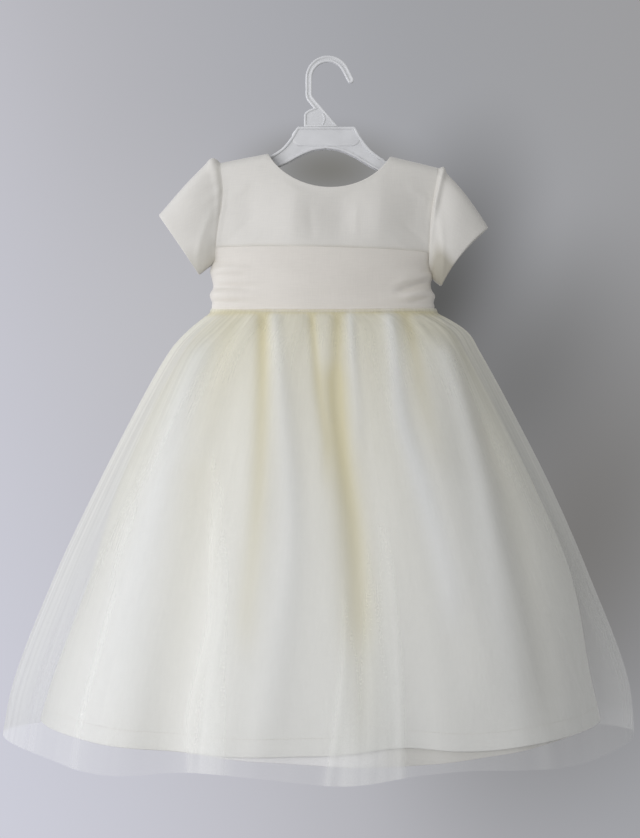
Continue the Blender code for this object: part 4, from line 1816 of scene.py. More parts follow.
@dataclass(frozen=True)
class LongFold:
    """A long soft fold of the gathered skirts: a ridge or, with negative heights, a trough.

    Its line is given by heights, from the top down, and places across. Its other values go in
    pairs, for the line's top and bottom: its half width, its height, its painted shade, which
    takes painted shade away on ridges where it is negative, and the share by which its net
    closes up.
    """

    heights: tuple[float, ...]
    places: tuple[float, ...]
    half_width: Pair
    height: Pair
    # Its share of painted shade, at the line's top and bottom.
    tint: Pair = (0.0, 0.0)
    closeness: Pair = (0.0, 0.0)
    waist_from: float = -0.270
    fade_above: float = 0.035
    fade_below: float = 0.060

    def along(self, z: Array, pair: Pair) -> Array:
        """A value at the heights z, from the pair at the line's top and bottom."""
        top, bottom = self.heights[0], self.heights[-1]
        return pair[0] + (pair[1] - pair[0]) * np.clip((top - z) / (top - bottom), 0, 1)

    def shape(self, points: Array) -> Array:
        """1 along the line and less to its sides, fading out above and below its ends.

        Args:
            points: Points of the cloth.

        Returns:
            The fold's share at each point. A line that starts at the waist keeps it up to there.
        """
        x, z = points[..., 0], points[..., 2]
        top, bottom = self.heights[0], self.heights[-1]
        heights, places = np.array(self.heights[::-1]), np.array(self.places[::-1])
        off = x - smooth_column(heights, places, np.clip(z, bottom, top))
        starts = 1.0 if top > self.waist_from else ease((top - z) / self.fade_above)
        ends = ease((z - bottom + self.fade_below) / self.fade_below)
        return bell(off, self.along(z, self.half_width)) * starts * ends


def long_folds(*rows: tuple[tuple[float, ...], ...], last: str = "tint") -> tuple[LongFold, ...]:
    """Makes long folds.

    Args:
        rows: Each fold's line, in heights and places by turns, then its half widths and its
            heights, in tenths of a millimetre, and then, where it has one, a pair of shares.
        last: What those shares are.

    Returns:
        The folds.
    """
    folds = []
    for line, sizes, *shares in rows:
        line, sizes = metres(line), metres(sizes)
        pairs = {last: pair for pair in shares}
        folds.append(LongFold(line[::2], line[1::2], sizes[:2], sizes[2:], **pairs))
    return tuple(folds)


# A fold's last pair is its painted shade: positive in valleys, negative on ridges, where it takes
# painted shade away.
SATIN_FOLDS = {
    Side.FRONT: long_folds(
        ((-2660, -675, -3400, -665, -4100, -675, -4760, -705, -5600, -780),
         (60, 110, -22, -4), (0.62, 0.22)),
        ((-2660, -550, -3600, -460, -4750, -370, -5500, -420, -7000, -640),
         (60, 200, 20, 22), (-0.25, 0.0)),
        ((-2660, -175, -3200, -125, -3600, -85, -4000, -20), (40, 55, -16, -6), (0.50, 0.25)),
        ((-2660, 95, -3600, 94, -4100, 140, -5040, 270, -6400, 315),
         (60, 130, -26, -14), (0.52, 0.12)),
        ((-3100, 10, -4100, 110, -4800, 210, -5600, 280), (130, 170, -24, -14), (0.50, 0.30)),
        ((-2660, 225, -3100, 245, -3700, 290), (45, 60, 18, 8), (-0.35, -0.15)),
        ((-2660, 790, -3080, 880, -3600, 970, -4380, 1180), (60, 120, -10, -2), (0.40, 0.0)),
        ((-2660, 620, -3300, 680, -3800, 740, -4300, 880, -5400, 1160),
         (70, 140, 24, 12), (-0.40, -0.1)),
        ((-2830, 1140, -3550, 1340, -4300, 1500, -5200, 1620, -6900, 1860),
         (110, 190, 56, 30), (-0.20, 0.0)),
        ((-2830, 1000, -3550, 1130, -4300, 1210, -5200, 1360, -6200, 1500),
         (200, 300, 50, 30), (-0.15, 0.0)),
        ((-4200, 1430, -5080, 1630, -5600, 1780, -6500, 2000, -6900, 2080), (240, 360, 20, 80)),
        ((-4500, -260, -6900, -260), (300, 420, 5, 45)),
        ((-5000, 500, -6900, 680), (260, 340, 5, 30)),
        ((-2660, -1000, -3100, -1050, -3800, -1180), (110, 150, -6, -4), (0.12, 0.06)),
        ((-2830, -1195, -3270, -1395, -4100, -1620, -5600, -1930, -6900, -2050),
         (110, 360, 56, 105), (-0.30, 0.0)),
        ((-4000, -1250, -5000, -1330, -6000, -1420, -6900, -1480),
         (180, 300, -10, -26), (0.12, 0.04)),
        ((-3600, 1530, -4600, 1850, -5600, 2020, -6450, 2120), (120, 180, -20, -26), (0.06, 0.04)),
    ),
    Side.BACK: long_folds(
        ((-2660, -740, -3800, -880, -5200, -1200, -6200, -1330), (60, 130, -22, -12), (0.60, 0.20)),
        ((-2660, -600, -4000, -680, -5600, -900, -7000, -1020), (60, 150, 20, 26), (-0.20, 0.0)),
        ((-2660, -120, -3700, -180, -4700, -120, -6000, -240), (50, 100, -26, -14), (0.68, 0.25)),
        ((-2660, 140, -3500, 180, -4800, 260), (45, 70, 14, 12)),
        ((-2660, 600, -3400, 700, -4500, 980, -5600, 1280), (55, 120, -18, -12), (0.55, 0.10)),
        ((-2660, 450, -4000, 640, -5400, 900, -7000, 1080), (50, 160, 18, 24), (-0.20, 0.0)),
        ((-3000, -1100, -4300, -1500, -6400, -1900), (100, 200, -20, -34), (0.20, 0.05)),
        ((-3400, 1250, -4700, 1700, -6400, 1960), (110, 200, -20, -34)),
    ),
}
TULLE_BANDS = {
    Side.FRONT: long_folds(
        ((-3900, -1110, -5600, -1020, -6200, -1080, -7100, -1106), (70, 170, 4, 24), (0.1, 2.6)),
        ((-3900, -1140, -5600, -1124, -6200, -1231, -6570, -1287, -7100, -1270),
         (34, 52, 3, 16), (0.1, 1.8)),
        ((-5000, 125, -5700, 150, -6400, 100, -7100, 0), (34, 50, 3, 14), (0.1, 1.8)),
        ((-5200, 180, -6000, 200, -7100, 130), (80, 120, 4, 16), (0.2, 2.6)),
        ((-4500, 360, -5300, 380, -6000, 400, -7100, 340), (80, 130, 6, 22), (0.2, 2.8)),
        ((-4500, 500, -5300, 540, -6200, 580, -7100, 550), (70, 110, 6, 16), (0.2, 2.6)),
        ((-4500, 540, -5300, 610, -6200, 660, -7100, 665), (34, 50, 3, 14), (0.1, 1.6)),
        ((-4800, 1620, -7100, 2040), (60, 120, 10, 30), (0.2, 0.6)),
        ((-4500, -1880, -7100, -2380), (60, 140, 10, 30), (0.2, 0.8)),
        last="closeness",
    ),
    Side.BACK: long_folds(
        ((-4200, -1200, -5600, -1500, -7100, -1700), (50, 150, 10, 30), (0.2, 1.4)),
        ((-4200, -560, -5600, -640, -7100, -700), (50, 120, 10, 26), (0.2, 0.9)),
        ((-4000, 80, -5600, 140, -7100, 300), (50, 160, 10, 30), (0.2, 1.6)),
        ((-4200, 780, -5600, 1000, -7100, 1100), (50, 120, 10, 26), (0.2, 0.9)),
        last="closeness",
    ),
}


def folded(folds: tuple[LongFold, ...], points: Array, kind: str) -> Array:
    """The sum over the folds of their values of one kind, such as "height", at the points."""
    z = points[..., 2]
    return sum(fold.shape(points) * fold.along(z, getattr(fold, kind)) for fold in folds)


@dataclass(frozen=True)
class Depth:
    """Painted shade on the skirts, at the waist, just under the sash and in the valleys."""

    from_z: float = -0.262
    # Painted shade at the waist, and how far down it fades.
    strength: float = 0.54
    reach: float = 0.200
    # A painted shadow line just under the sash: its strength, how far down and how wide.
    edge: float = 0.50
    edge_below: float = 0.0045
    edge_width: float = 0.0030

    def tint(self, side: Side, points: Array) -> Array:
        """Finds how much painted shade the cloth takes.

        Args:
            side: The front or the back.
            points: The cloth's points.

        Returns:
            The share at each point.
        """
        # Painted shade from the waist down, a painted shadow under the sash, and in the folds.
        below = np.maximum(0.0, self.from_z - points[..., 2])
        deep = folded(SATIN_FOLDS[side], points, "tint")
        edge = self.edge * bell(below - self.edge_below, self.edge_width)
        return np.clip(self.strength * np.exp(-below / self.reach) + edge + deep, 0, 1)


@dataclass
class Skirts(Garment):
    """The satin underskirt's panels and the front lining below them."""

    shape: SkirtForm = SATIN_SKIRT
    hem_z: float = -0.6930
    skirt_satin: float = 0.0012
    cloth: float = 0.0008
    hem_roll: float = 0.0009
    hem_depth: float = 0.016
    hem_stitches: StitchRow = StitchRow(0.0032, 0.0024)
    stitches_in: float = 0.002
    gathers: WaistGathers = WaistGathers((25, 21), (22, 33), 0.180, 0.55, 0.22)
    gather_height: float = 0.0018
    fine_height: float = 0.00012
    waist_hold: float = 0.009
    hem_lift: Triple = (0.0060, 0.26, 0.16)
    lining_drop: Triple = (0.0120, 0.22, 0.42)
    lining_inset: float = 0.0040
    # Painted shade on the lining's right side: its share, where it starts in x and its fade.
    lining_shade: Triple = (0.9, 0.035, 0.040)
    side_power: int = 10
    columns: int = 221
    rows: int = 104
    rows_spread: float = 1.25
    lining_margin: int = 6
    front_cut: Cut = ((0.82, 0.46), 0.300)
    back_cut: Cut = ((0.36, 0.46), 0.125)
    lining_cut: Cut = ((0.80, 0.48), 0.290)

    def grid(self, side: Side, columns: Array, bottom: Array | float, inset: float = 0.0) -> Grid:
        """Makes a panel's surface, gathered into the waist, with its hem turned up.

        Args:
            side: The front or the back.
            columns: Its places across.
            bottom: The hem's height at each.
            inset: How far inside the satin the panel lies.

        Returns:
            The panel's outer face.
        """
        form = self.form
        top = form.skirt_top_z
        share = np.linspace(0.0, 1.0, self.rows)[:, None] ** self.rows_spread
        z = top + (np.broadcast_to(bottom, columns.shape) - top) * share
        flat = Grid(self.shape.points(form, side, columns[None, :], z)).facing_out()
        places = np.arccos(-columns)[None, :] / math.pi
        gathers, fine = self.gathers.reliefs(side, places, top - z)
        relief = gathers * self.gather_height + fine * self.fine_height
        relief = relief + folded(SATIN_FOLDS[side], flat.points, "height")
        held = ease((top - z) / self.waist_hold) * (1 - np.abs(columns[None, :]) ** self.side_power)
        made = flat.moved(self.skirt_satin / 2 - inset + relief * held)
        # Painted shade at the waist, under the sash and in the valleys.
        made.values["tint"] = Depth().tint(side, made.points)
        if inset > 0:
            # Painted shade on the right of the lining, away from the light.
            shade, from_x, fade = self.lining_shade
            made.values["tint"] += shade * ease((made.points[..., 0] - from_x) / fade)
        return made.turned_edge(self.hem_roll, self.hem_depth)

    def hem_line(self, grid: Grid) -> Array:
        """Finds where a hem is stitched.

        Args:
            grid: The panel.

        Returns:
            The points of the line along its turned hem's upper edge.
        """
        raised = grid.moved(StitchRow.raised).points
        heights = raised[: self.rows, :, 2].mean(axis=1)
        row = np.argmin(np.abs(heights - (heights[-1] + self.hem_depth - self.stitches_in)))
        return raised[row, 2:-2]

    def build(self) -> None:
        """Makes the panels and the lining, with the stitches of their hems."""
        across = -np.cos(np.linspace(0.0, math.pi, self.columns))
        bows = (self.hem_lift, self.lining_drop)
        lift, drop = (height * bell(across - at, spread) for height, at, spread in bows)
        (front, *_), *halves = self.form.panels("underskirt", across)
        grids = {front: self.grid(Side.FRONT, across, self.hem_z + lift)}
        grids |= {name: self.grid(side, columns, self.hem_z) for name, side, columns in halves}
        satin = Cloth(
            self.finishes.skirt, Slot.SKIRT, self.cloth, "satin_bodice_front", Held.GATHERED
        )
        for (name, grid), cut in zip(grids.items(), (self.front_cut, self.back_cut, self.back_cut)):
            satin.sew(name, grid, *cut)
        inner = slice(self.lining_margin, -self.lining_margin)
        bottom = self.hem_z - drop[inner]
        lining = self.grid(Side.FRONT, across[inner], bottom, self.lining_inset)
        taffeta = replace(satin, finish=self.finishes.lining, slot=Slot.LINING)
        taffeta.sew("lining_front", lining, *self.lining_cut)
        lines = [self.hem_line(grid) for grid in (*grids.values(), lining)]
        self.hem_stitches.sew("hem_stitches", lines, self.finishes.thread)


# --- Tulle overskirt ---


@dataclass
class Tulle(Garment):
    """The gathered tulle overskirt: a front and a back panel of fine net over the satin."""

    shape: SkirtForm = TULLE_SKIRT
    hem_z: float = -0.7080
    hem_waves: float = 9.0
    hem_wave: float = 0.0050
    hem_phase: float = 1.0
    tuck: float = 0.0030
    tuck_in: float = 0.0012
    thread_stop: float = 0.110
    gathers: WaistGathers = WaistGathers((27, 3), (23, 7), 0.260, 0.60, 0.20)
    gather_height: float = 0.0021
    gather_closeness: float = 0.30
    fine_height: float = 0.00012
    waist_hold: float = 0.009
    lowest: float = -0.0006
    closest: float = 0.72
    left_closer: float = 3.6
    right_closer: float = 1.5
    closer_width: float = 0.32
    gather_growth: float = 0.4
    hem_power: int = 4
    side_power: int = 24
    rows_spread: float = 1.15
    front_cells: tuple[int, int] = (541, 112)
    back_cells: tuple[int, int] = (441, 92)
    front_cut: Pair = (0.94, 0.446)
    back_cut: Pair = (0.74, 0.450)

    def base(self, side: Side, columns: int, rows: int) -> tuple[Grid, Array, Array]:
        """Makes a panel's smooth surface, with its places across and its heights.

        Args:
            side: The front or the back.
            columns: How many columns it has.
            rows: How many rows.

        Returns:
            The surface, the column places from 0 to 1, and the height of each point.
        """
        form = self.form
        places = np.linspace(0.0, 1.0, columns)[None, :]
        s = -np.cos(math.pi * places)
        wave = np.sin(self.hem_waves * s + self.hem_phase) * (1 - np.abs(s) ** self.hem_power)
        top = form.skirt_top_z + self.tuck
        share = np.linspace(0.0, 1.0, rows)[:, None] ** self.rows_spread
        z = top + (self.hem_z - self.hem_wave * wave - top) * share
        points = self.shape.points(form, side, s, np.minimum(z, form.skirt_top_z))
        points[..., 2] += np.maximum(0.0, z - form.skirt_top_z)
        inwards = self.tuck_in * ease((z - form.skirt_top_z) / self.tuck)
        return Grid(points).facing_out().moved(-inwards), places, z

    def grid(self, side: Side, columns: int, rows: int) -> Grid:
        """Makes a panel's surface, with its gathers, its folds and how closely its net lies.

        Args:
            side: The front or the back.
            columns: How many columns it has.
            rows: How many rows.

        Returns:
            The panel.
        """
        top, front = self.form.skirt_top_z, side is Side.FRONT
        flat, places, z = self.base(side, columns, rows)
        arc = np.linalg.norm(np.diff(flat.points, axis=1), axis=-1).cumsum(axis=1)[:, -1:]
        gathers, fine = self.gathers.reliefs(side, places, np.maximum(0.0, top - z))
        off = np.abs(2 * places - 1)
        held = ease((top - z) / self.waist_hold) * (1 - off**self.side_power)
        out = self.gather_height * (arc / arc[0]) ** self.gather_growth * gathers
        out = np.maximum(out + self.fine_height * fine, self.lowest)
        out += folded(SATIN_FOLDS[side], flat.points, "height")
        out += folded(TULLE_BANDS[side], flat.points, "height")
        closeness = self.gather_closeness * np.maximum(gathers, 0) * held
        closeness = closeness + folded(TULLE_BANDS[side], flat.points, "closeness")
        made = flat.moved(out * held)
        made.cut_width = (self.front_cut if front else self.back_cut)[0]
        gathered = made.cut_width / arc * (1 + closeness)
        closer = np.where(places < 0.5, self.left_closer, self.right_closer)
        sides = 1 + closer * bell(1 - off, self.closer_width)
        density = 1 - (1 - self.thread_stop) ** (gathered * sides)
        made.values["closeness"] = np.minimum(density, self.closest)
        # Painted shade at the waist, under the sash and in the valleys.
        made.values["tint"] = Depth().tint(side, made.points)
        return made

    def build(self) -> None:
        """Makes both panels."""
        net = Cloth(
            self.finishes.tulle, Slot.TULLE, 0.0, "satin_sash_front", Held.GATHERED, "net"
        )
        net.sew("tulle_front", self.grid(Side.FRONT, *self.front_cells), self.front_cut)
        net.sew("tulle_back", self.grid(Side.BACK, *self.back_cells), self.back_cut)


# --- Hanger ---


@dataclass(frozen=True)
class RibbedPlate:
    """A moulded plate of one outline: a thin web with a thicker rounded rim all round it."""

    web: float
    rim_width: float
    rim_thickness: float
    rim_round: int = 5
    corner_share: float = 0.75

    def rim_profile(self) -> list[Pair]:
        """Rounds the rim's section.

        Returns:
            Its points: distances in from the outline, and across the plate.
        """
        half_width, half_depth = self.rim_width / 2, self.rim_thickness / 2
        corner = min(half_width, half_depth) * self.corner_share
        profile = []
        for turn, (side_in, side_out) in enumerate(((1, 1), (-1, 1), (-1, -1), (1, -1))):
            for step in range(self.rim_round + 1):
                angle = math.pi / 2 * (turn + step / self.rim_round)
                across = half_width + side_in * (half_width - corner) + corner * math.cos(angle)
                depth = side_out * (half_depth - corner) + corner * math.sin(angle)
                profile.append((across, depth))
        return profile

    def parts(self, outline: Array) -> tuple[Array, Faces]:
        """Makes the rim and the web.

        Args:
            outline: The closed outline's points in x and z, anticlockwise.

        Returns:
            Their points and faces.
        """
        forward = unit(np.roll(outline, -1, axis=0) - outline)
        backward = unit(outline - np.roll(outline, 1, axis=0))
        tangent = unit(forward + backward)
        mitre = 1 / np.clip(np.sum(tangent * forward, axis=-1), 0.5, 1.0)
        inward = np.stack([-tangent[:, 1], tangent[:, 0]], axis=-1)
        profile = self.rim_profile()
        points = []
        for place, side, stretch in zip(outline, inward, mitre):
            for across, depth in profile:
                x, z = place + side * across * stretch
                points.append((x, depth, z))
        quads = ring_faces(len(outline), len(profile), closed=True)
        faces = [(a, d, c, b) for a, b, c, d in quads]
        inner = outline + inward * (self.rim_width * 0.5 * mitre)[:, None]
        fill = tessellate_polygon([[Vector((x, z, 0.0)) for x, z in inner]])
        for depth in (-self.web / 2, self.web / 2):
            start = len(points)
            points.extend((x, depth, z) for x, z in inner)
            for face in fill:
                turned = face if depth < 0 else face[::-1]
                faces.append(tuple(start + corner for corner in turned))
        return np.array(points), faces


@dataclass(frozen=True)
class HangerStation:
    """The hanger's top and bottom edges at a distance out from its middle."""

    out: float
    top: float
    bottom: float


@dataclass
class Hanger:
    """The child's hanger: a ribbed plate with two arms, and its ribbed hook, in one moulding."""

    finishes: Finishes
    plate: RibbedPlate = RibbedPlate(0.0052, 0.0028, 0.0090)
    strip: RibbedPlate = RibbedPlate(0.0028, 0.0025, 0.0050, 4)
    centre_x: float = -0.0020
    tilt: float = 0.022
    plate_level: float = 0.0300
    plate_flat: float = 0.0290
    arm_end_round: float = 0.0040
    panel_half_width: float = 0.0365
    panel_top: float = -0.0705
    panel_bottom: float = -0.0895
    panel_depth: float = 0.0068
    panel_bevel: tuple[Pair, ...] = ((0.0, 0.0), (0.0002, 0.5), (0.0007, 0.85), (0.0016, 1.0))
    hook_strip: float = 0.0068
    hook_inner_radius: float = 0.0170
    hook_open_angle: float = math.radians(27)
    hook_free_length: float = 0.0125
    hook_straight: float = 0.0165
    hook_bend_radius: float = 0.0100
    hook_lean: float = math.radians(40.5)
    hook_foot_z: float = -0.0687
    ear_left_x: float = -0.0254
    ear_top_z: float = -0.0510
    ear_corners: tuple[Pair, ...] = ((0.0045, 0.0), (0.0012, 0.0024), (0.0, 0.0055))
    ear_rise: float = 0.0024
    ear_rib: tuple[Pair, ...] = ((-0.0054, -0.0548), (-0.0012, -0.0612), (-0.0070, -0.0680))
    ear_rib_radius: float = 0.0009
    notch_out: float = 0.0628
    notch_half_width: float = 0.0012
    notch_depth: float = 0.0013
    sharp_edges: float = math.radians(35)
    arm_steps: int = 180
    round_steps: int = 15
    rib_sides: int = 10
    stations: tuple[HangerStation, ...] = table(
        HangerStation,
        (0, -690, -920),
        (150, -690, -945),
        (300, -692, -1010),
        (365, -795, -1048),
        (460, -915, -1100),
        (570, -998, -1150),
        (640, -1032, -1170),
        (720, -1056, -1190),
        (900, -1090, -1220),
        (1040, -1122, -1245),
    )

    def body_outline(self) -> Array:
        """Draws the plate and its arms.

        Returns:
            The outline's points in x and z, anticlockwise from its lower middle.
        """
        outs, tops, bottoms = np.array([(row.out, row.top, row.bottom) for row in self.stations]).T
        fine = np.linspace(0.0, outs[-1], self.arm_steps)
        notch = self.notch_depth * bell(fine - self.notch_out, self.notch_half_width)
        high = np.where(fine < self.plate_flat, tops[0], smooth_column(outs, tops, fine) - notch)
        upper = np.stack([fine, high], axis=-1)
        lower = np.stack([fine, smooth_column(outs, bottoms, fine)], axis=-1)
        turns = np.linspace(-math.pi / 2, math.pi / 2, self.round_steps)[1:-1]
        end = [
            outs[-1] + self.arm_end_round * np.cos(turns),
            (tops[-1] + bottoms[-1]) / 2 + (tops[-1] - bottoms[-1]) / 2 * np.sin(turns),
        ]
        right = np.concatenate([lower[1:], np.stack(end, axis=-1), upper[:0:-1]])
        left = (right * (-1, 1))[::-1]
        both = np.concatenate([[(0.0, bottoms[0])], right, [(0.0, tops[0])], left])
        out = both[:, 0]
        drop = self.tilt * out * ease(np.abs(out) / self.plate_level - 1)
        return np.stack([self.centre_x + out, both[:, 1] - drop], axis=-1)

    def panel_parts(self, side: Side) -> tuple[Array, Faces]:
        """Makes the raised panel on one face of the plate: rounded ends and a bevelled edge.

        Args:
            side: The front or the back.

        Returns:
            Its points and faces.
        """
        half_height = (self.panel_top - self.panel_bottom) / 2
        middle_z = (self.panel_top + self.panel_bottom) / 2
        turns = np.linspace(-math.pi / 2, math.pi / 2, self.round_steps)
        straight = self.panel_half_width - half_height
        base = self.plate.web / 2
        points = []
        for inset, share in self.panel_bevel:
            radius = half_height - inset
            depth = side.value * (base + (self.panel_depth / 2 - base) * share)
            right = np.stack([straight + radius * np.cos(turns), radius * np.sin(turns)], axis=-1)
            for x, z in np.concatenate([right, right * (-1, -1)]):
                points.append((self.centre_x + x, depth, middle_z + z))
        count = 2 * len(turns)
        faces = ring_faces(len(self.panel_bevel), count)
        faces.append(tuple(range(len(points) - count, len(points))))
        return np.array(points), self.faced(faces, side)

    @staticmethod
    def faced(faces: Faces, side: Side) -> Faces:
        """The faces, turned round where they are for the back."""
        return [face[::-1] for face in faces] if side is Side.BACK else faces

    def hook_sides(self) -> tuple[Array, Array, Array]:
        """Bends the hook's strip round the rail, down and across.

        Returns:
            The points of its outer side, its inner side and its rounded free end.
        """
        opening, turned = self.hook_open_angle, math.pi + self.hook_lean
        inner, strip = self.hook_inner_radius, self.hook_strip
        middle = inner + strip / 2
        centre = np.array((0.0, -inner))
        bend = np.array((self.hook_bend_radius - middle, -inner - self.hook_straight))

        def arc(about: Array, radius: float, start: float, end: float, steps: int) -> Array:
            """Points round a centre, from one angle to another."""
            turns = np.linspace(start, end, steps + 1)
            return about + radius * np.stack([np.cos(turns), np.sin(turns)], axis=-1)

        run = self.hook_free_length * np.array((math.sin(opening), -math.cos(opening)))
        free = np.array([run * share for share in (1.0, 0.75, 0.5, 0.25)])
        sides = []
        for radius, steps, bent, bend_steps in (
            (inner + strip, 48, self.hook_bend_radius + strip / 2, 12),
            (inner, 40, self.hook_bend_radius - strip / 2, 10),
        ):
            over = arc(centre, radius, opening, math.pi, steps)
            sides.append([over[0] + free, over, arc(bend, bent, math.pi, turned, bend_steps)])
        tip = centre + middle * np.array((math.cos(opening), math.sin(opening))) + free[0]
        end = arc(tip, strip / 2, opening - math.pi, opening, 14)[1:-1]
        return np.concatenate(sides[0]), np.concatenate(sides[1]), end

    def hook_outline(self) -> Array:
        """Draws the hook: round the rail, down and across to its foot and ear.

        Returns:
            The outline's points in x and z.
        """
        outer_side, inner_side, free_end = self.hook_sides()
        slope, foot_z = math.tan(self.hook_lean), self.hook_foot_z
        ends = (outer_side[-1], inner_side[-1])
        feet = [(x + (z - foot_z) * slope, foot_z) for x, z in ends]
        ear_z = self.ear_top_z + self.ear_rise
        corners = [(self.ear_left_x + x, self.ear_top_z - z) for x, z in self.ear_corners]
        ear = [(feet[0][0] + (foot_z - ear_z) * slope, ear_z), *corners, (self.ear_left_x, foot_z)]
        return np.concatenate([outer_side, ear, feet[1:], inner_side[::-1], free_end])

    def ear_rib_parts(self, side: Side) -> tuple[Array, Faces]:
        """Makes the half-round rib that curves down one face of the hook's ear.

        Args:
            side: The front or the back.

        Returns:
            Its points and faces.
        """
        start, middle, end = (np.array(place) for place in self.ear_rib)
        t = np.linspace(0.0, 1.0, self.round_steps)[:, None]
        line = (1 - t) ** 2 * start + 2 * t * (1 - t) * middle + t**2 * end
        run = unit(np.gradient(line, axis=0))
        across = np.stack([-run[:, 1], run[:, 0]], axis=-1)
        turns = np.linspace(0.0, 2 * math.pi, self.rib_sides, endpoint=False)
        points = []
        for place, out in zip(line, across):
            for a in turns:
                x, z = place + out * self.ear_rib_radius * math.cos(a)
                depth = self.strip.web / 2 + self.ear_rib_radius * math.sin(a)
                points.append((x, side.value * depth, z))
        count = len(turns)
        faces = ring_faces(len(line), count)
        faces += [tuple(range(count))[::-1], tuple(range(len(points) - count, len(points)))]
        return np.array(points), self.faced(faces, side)

    def mould(self, node: str, parts: list[tuple[Array, Faces]]) -> None:
        """Makes one piece of the parts, in the hanger's plastic.

        Args:
            node: The plain solid that it stands for.
            parts: The points and faces of each.
        """
        points, faces = [], []
        for part_points, part_faces in parts:
            start = len(points)
            points.extend(part_points.tolist())
            faces.extend(tuple(start + corner for corner in face) for face in part_faces)
        mesh = bpy.data.meshes.new(f"ribbed_{node}")
        mesh.from_pydata(points, [], faces)
        mesh.shade_smooth()
        mesh.set_sharp_from_angle(angle=self.sharp_edges)
        settle(linked(mesh.name, mesh, self.finishes.plastic), node)

    def build(self) -> None:
        """Makes the plate with its arms and panels, and the hook."""
        panels = [self.panel_parts(side) for side in Side]
        self.mould("hanger_body", [self.plate.parts(self.body_outline()), *panels])
        ribs = [self.ear_rib_parts(side) for side in Side]
        self.mould("hanger_hook", [self.strip.parts(self.hook_outline()), *ribs])


# --- Studio ---


@dataclass(frozen=True)
class ToneOval:
    """A soft oval of another tone on the surround: its direction, size, turn, depth and tone."""

    aim: Triple
    size: Triple
    turn: float
    depth: float
    tone: Triple


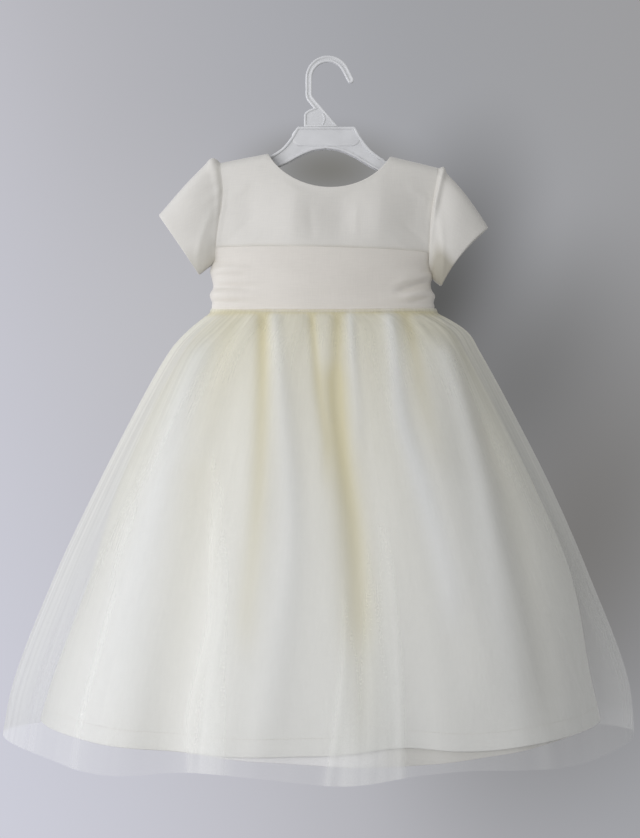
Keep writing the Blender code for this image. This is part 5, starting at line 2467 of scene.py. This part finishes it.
@dataclass
class Studio:
    """A pale floor, a soft light from the left and a pale surround that darkens to the right."""

    floor_z: float = -1.25
    floor_radius: float = 1.30
    floor_tones: tuple[Triple, Triple] = ((0.46, 0.455, 0.45), (0.52, 0.515, 0.51))
    camera_place: Triple = (-0.0085, -1.5, -0.378)
    lens: float = 60.81
    key_place: Triple = (-0.95, -1.85, -0.25)
    key_aim: Triple = (0.0, -0.05, -0.45)
    key_size: float = 1.1
    key_power: float = 13.3
    key_tone: Triple = (1.0, 0.985, 0.96)
    fall: float = 0.35
    reach: float = 0.32
    oval_reach: float = 1.35
    net_layers: int = 32
    tones: tuple[Triple, ...] = (
        (0.615, 0.620, 0.700),
        (0.490, 0.490, 0.530),
        (0.375, 0.380, 0.405),
        (0.335, 0.335, 0.345),
    )
    # The first three ovals are the dress's painted shadow on the surround, the fourth a paler
    # painted patch left of the skirt and the sixth a painted shade seen through the neck. The
    # fifth, seventh and eighth are bright patches out of view that light the dress from the left
    # and from above.
    ovals: tuple[ToneOval, ...] = (
        ToneOval((0.178, 0.978, -0.085), (0.112, 0.50, 0.215), -18, 0.90, (0.172, 0.167, 0.160)),
        ToneOval((0.080, 0.990, 0.080), (0.060, 0.50, 0.120), -18, 0.97, (0.096, 0.096, 0.094)),
        ToneOval((0.136, 0.990, 0.020), (0.060, 0.50, 0.110), -27, 0.75, (0.150, 0.150, 0.148)),
        ToneOval((-0.090, 0.990, 0.060), (0.110, 0.50, 0.130), 0, 0.28, (0.580, 0.580, 0.600)),
        ToneOval((-0.980, 0.000, 0.000), (0.500, 0.60, 0.600), 0, 1.00, (1.850, 1.850, 1.930)),
        ToneOval((0.006, 0.985, 0.173), (0.062, 0.50, 0.029), 0, 0.97, (0.200, 0.197, 0.184)),
        ToneOval((0.420, -0.330, 0.850), (0.420, 0.42, 0.400), 0, 0.90, (0.950, 0.950, 0.940)),
        ToneOval((-0.600, -0.200, 0.780), (0.420, 0.42, 0.400), 0, 0.90, (1.150, 1.150, 1.200)),
    )

    def build_surround(self) -> None:
        """Sets the surround's brightness by its direction: paler to the left and low down.

        Painted soft shadows of the dress lie on its right, as they do beside anything lit from the
        left. A painted shade lies behind the neck, and a paler painted patch left of the skirt.
        """
        world = bpy.data.worlds.new("Pale surround")
        world.use_nodes = True
        work = NodeWork(world.node_tree)
        aim = work.node("ShaderNodeTexCoord", output="Generated")

        def vector(operation: str, a: Any, b: Any = (0, 0, 0), output: int = 0) -> Socket:
            """The result of a sum on two vectors."""
            return work.node("ShaderNodeVectorMath", {0: a, 1: b}, output, operation=operation)

        slope = vector("DOT_PRODUCT", aim, (1.0, 0.0, self.fall), 1)
        ramp = work.add("ShaderNodeValToRGB", {0: work.spread(slope, -self.reach, self.reach)})
        ramp.color_ramp.interpolation = "CARDINAL"
        stops = ramp.color_ramp.elements
        for number in range(1, len(self.tones) - 1):
            stops.new(number / (len(self.tones) - 1))
        for stop, tone in zip(stops, self.tones):
            stop.color = (*tone, 1.0)
        shown = ramp.outputs[0]
        for oval in self.ovals:
            turn = {"Vector": vector("SUBTRACT", aim, oval.aim), "Angle": math.radians(oval.turn)}
            turned = work.node("ShaderNodeVectorRotate", turn, rotation_type="Y_AXIS")
            far = vector("LENGTH", vector("DIVIDE", turned, oval.size), output=1)
            ends = (oval.depth, 0.0)
            share = work.spread(far, 0.0, self.oval_reach, ends, interpolation_type="SMOOTHSTEP")
            shown = work.mixed(share, shown, oval.tone)
        work.add("ShaderNodeOutputWorld", {0: work.node("ShaderNodeBackground", {0: shown})})
        bpy.context.scene.world = world

    def build_light(self) -> None:
        """Sets the soft key light, at about the dress's height on its left."""
        light = bpy.data.lights.new("Soft window", "AREA")
        light.size = self.key_size
        light.energy = self.key_power
        light.color = self.key_tone
        lamp = linked("Soft window", light)
        lamp.location = self.key_place
        aim = Vector(self.key_aim) - Vector(self.key_place)
        lamp.rotation_euler = aim.to_track_quat("-Z", "Y").to_euler()

    def build_floor(self) -> None:
        """Lays the round floor."""
        radius = self.floor_radius
        turns = np.linspace(0.0, 2 * math.pi, 96, endpoint=False)
        ring = [(radius * math.cos(a), radius * math.sin(a), self.floor_z) for a in turns]
        mesh = bpy.data.meshes.new("Floor")
        mesh.from_pydata(ring, [], [tuple(range(len(ring)))])
        shader = Shader("Pale floor")
        grain = shader.noise(shader.node("ShaderNodeTexCoord", output="Object"), 4.0, 30.0)
        tone = shader.mixed(grain, *self.floor_tones)
        linked("Floor", mesh, shader.finish({"Base Color": tone, "Roughness": 0.8}))

    def build_camera(self) -> None:
        """Sets the camera in front of the dress."""
        camera = bpy.data.cameras.new("Front camera")
        camera.lens = self.lens
        camera.sensor_width = 36.0
        holder = linked("Front camera", camera)
        holder.location = self.camera_place
        holder.rotation_euler = (math.pi / 2, 0.0, 0.0)
        bpy.context.scene.camera = holder

    def build(self) -> None:
        """Makes the whole studio."""
        scene = bpy.context.scene
        scene.view_settings.view_transform = "Standard"
        scene.cycles.transparent_max_bounces = self.net_layers
        self.build_surround()
        self.build_light()
        self.build_floor()
        self.build_camera()


def main() -> None:
    """Builds the dress, its hanger and the studio, in the order that they were sewn and hung."""
    logging.basicConfig(level=logging.INFO, format="%(name)s: %(message)s")
    finishes, form = Finishes(), DressForm()
    Hanger(finishes).build()
    Bodice(form, finishes).build()
    sash = Sash(form, finishes)
    sash.build()
    Closure(form, sash, finishes).build()
    for garment in (Sleeves, Skirts, Tulle):
        garment(form, finishes).build()
    Studio().build()


if __name__ == "__main__":
    main()
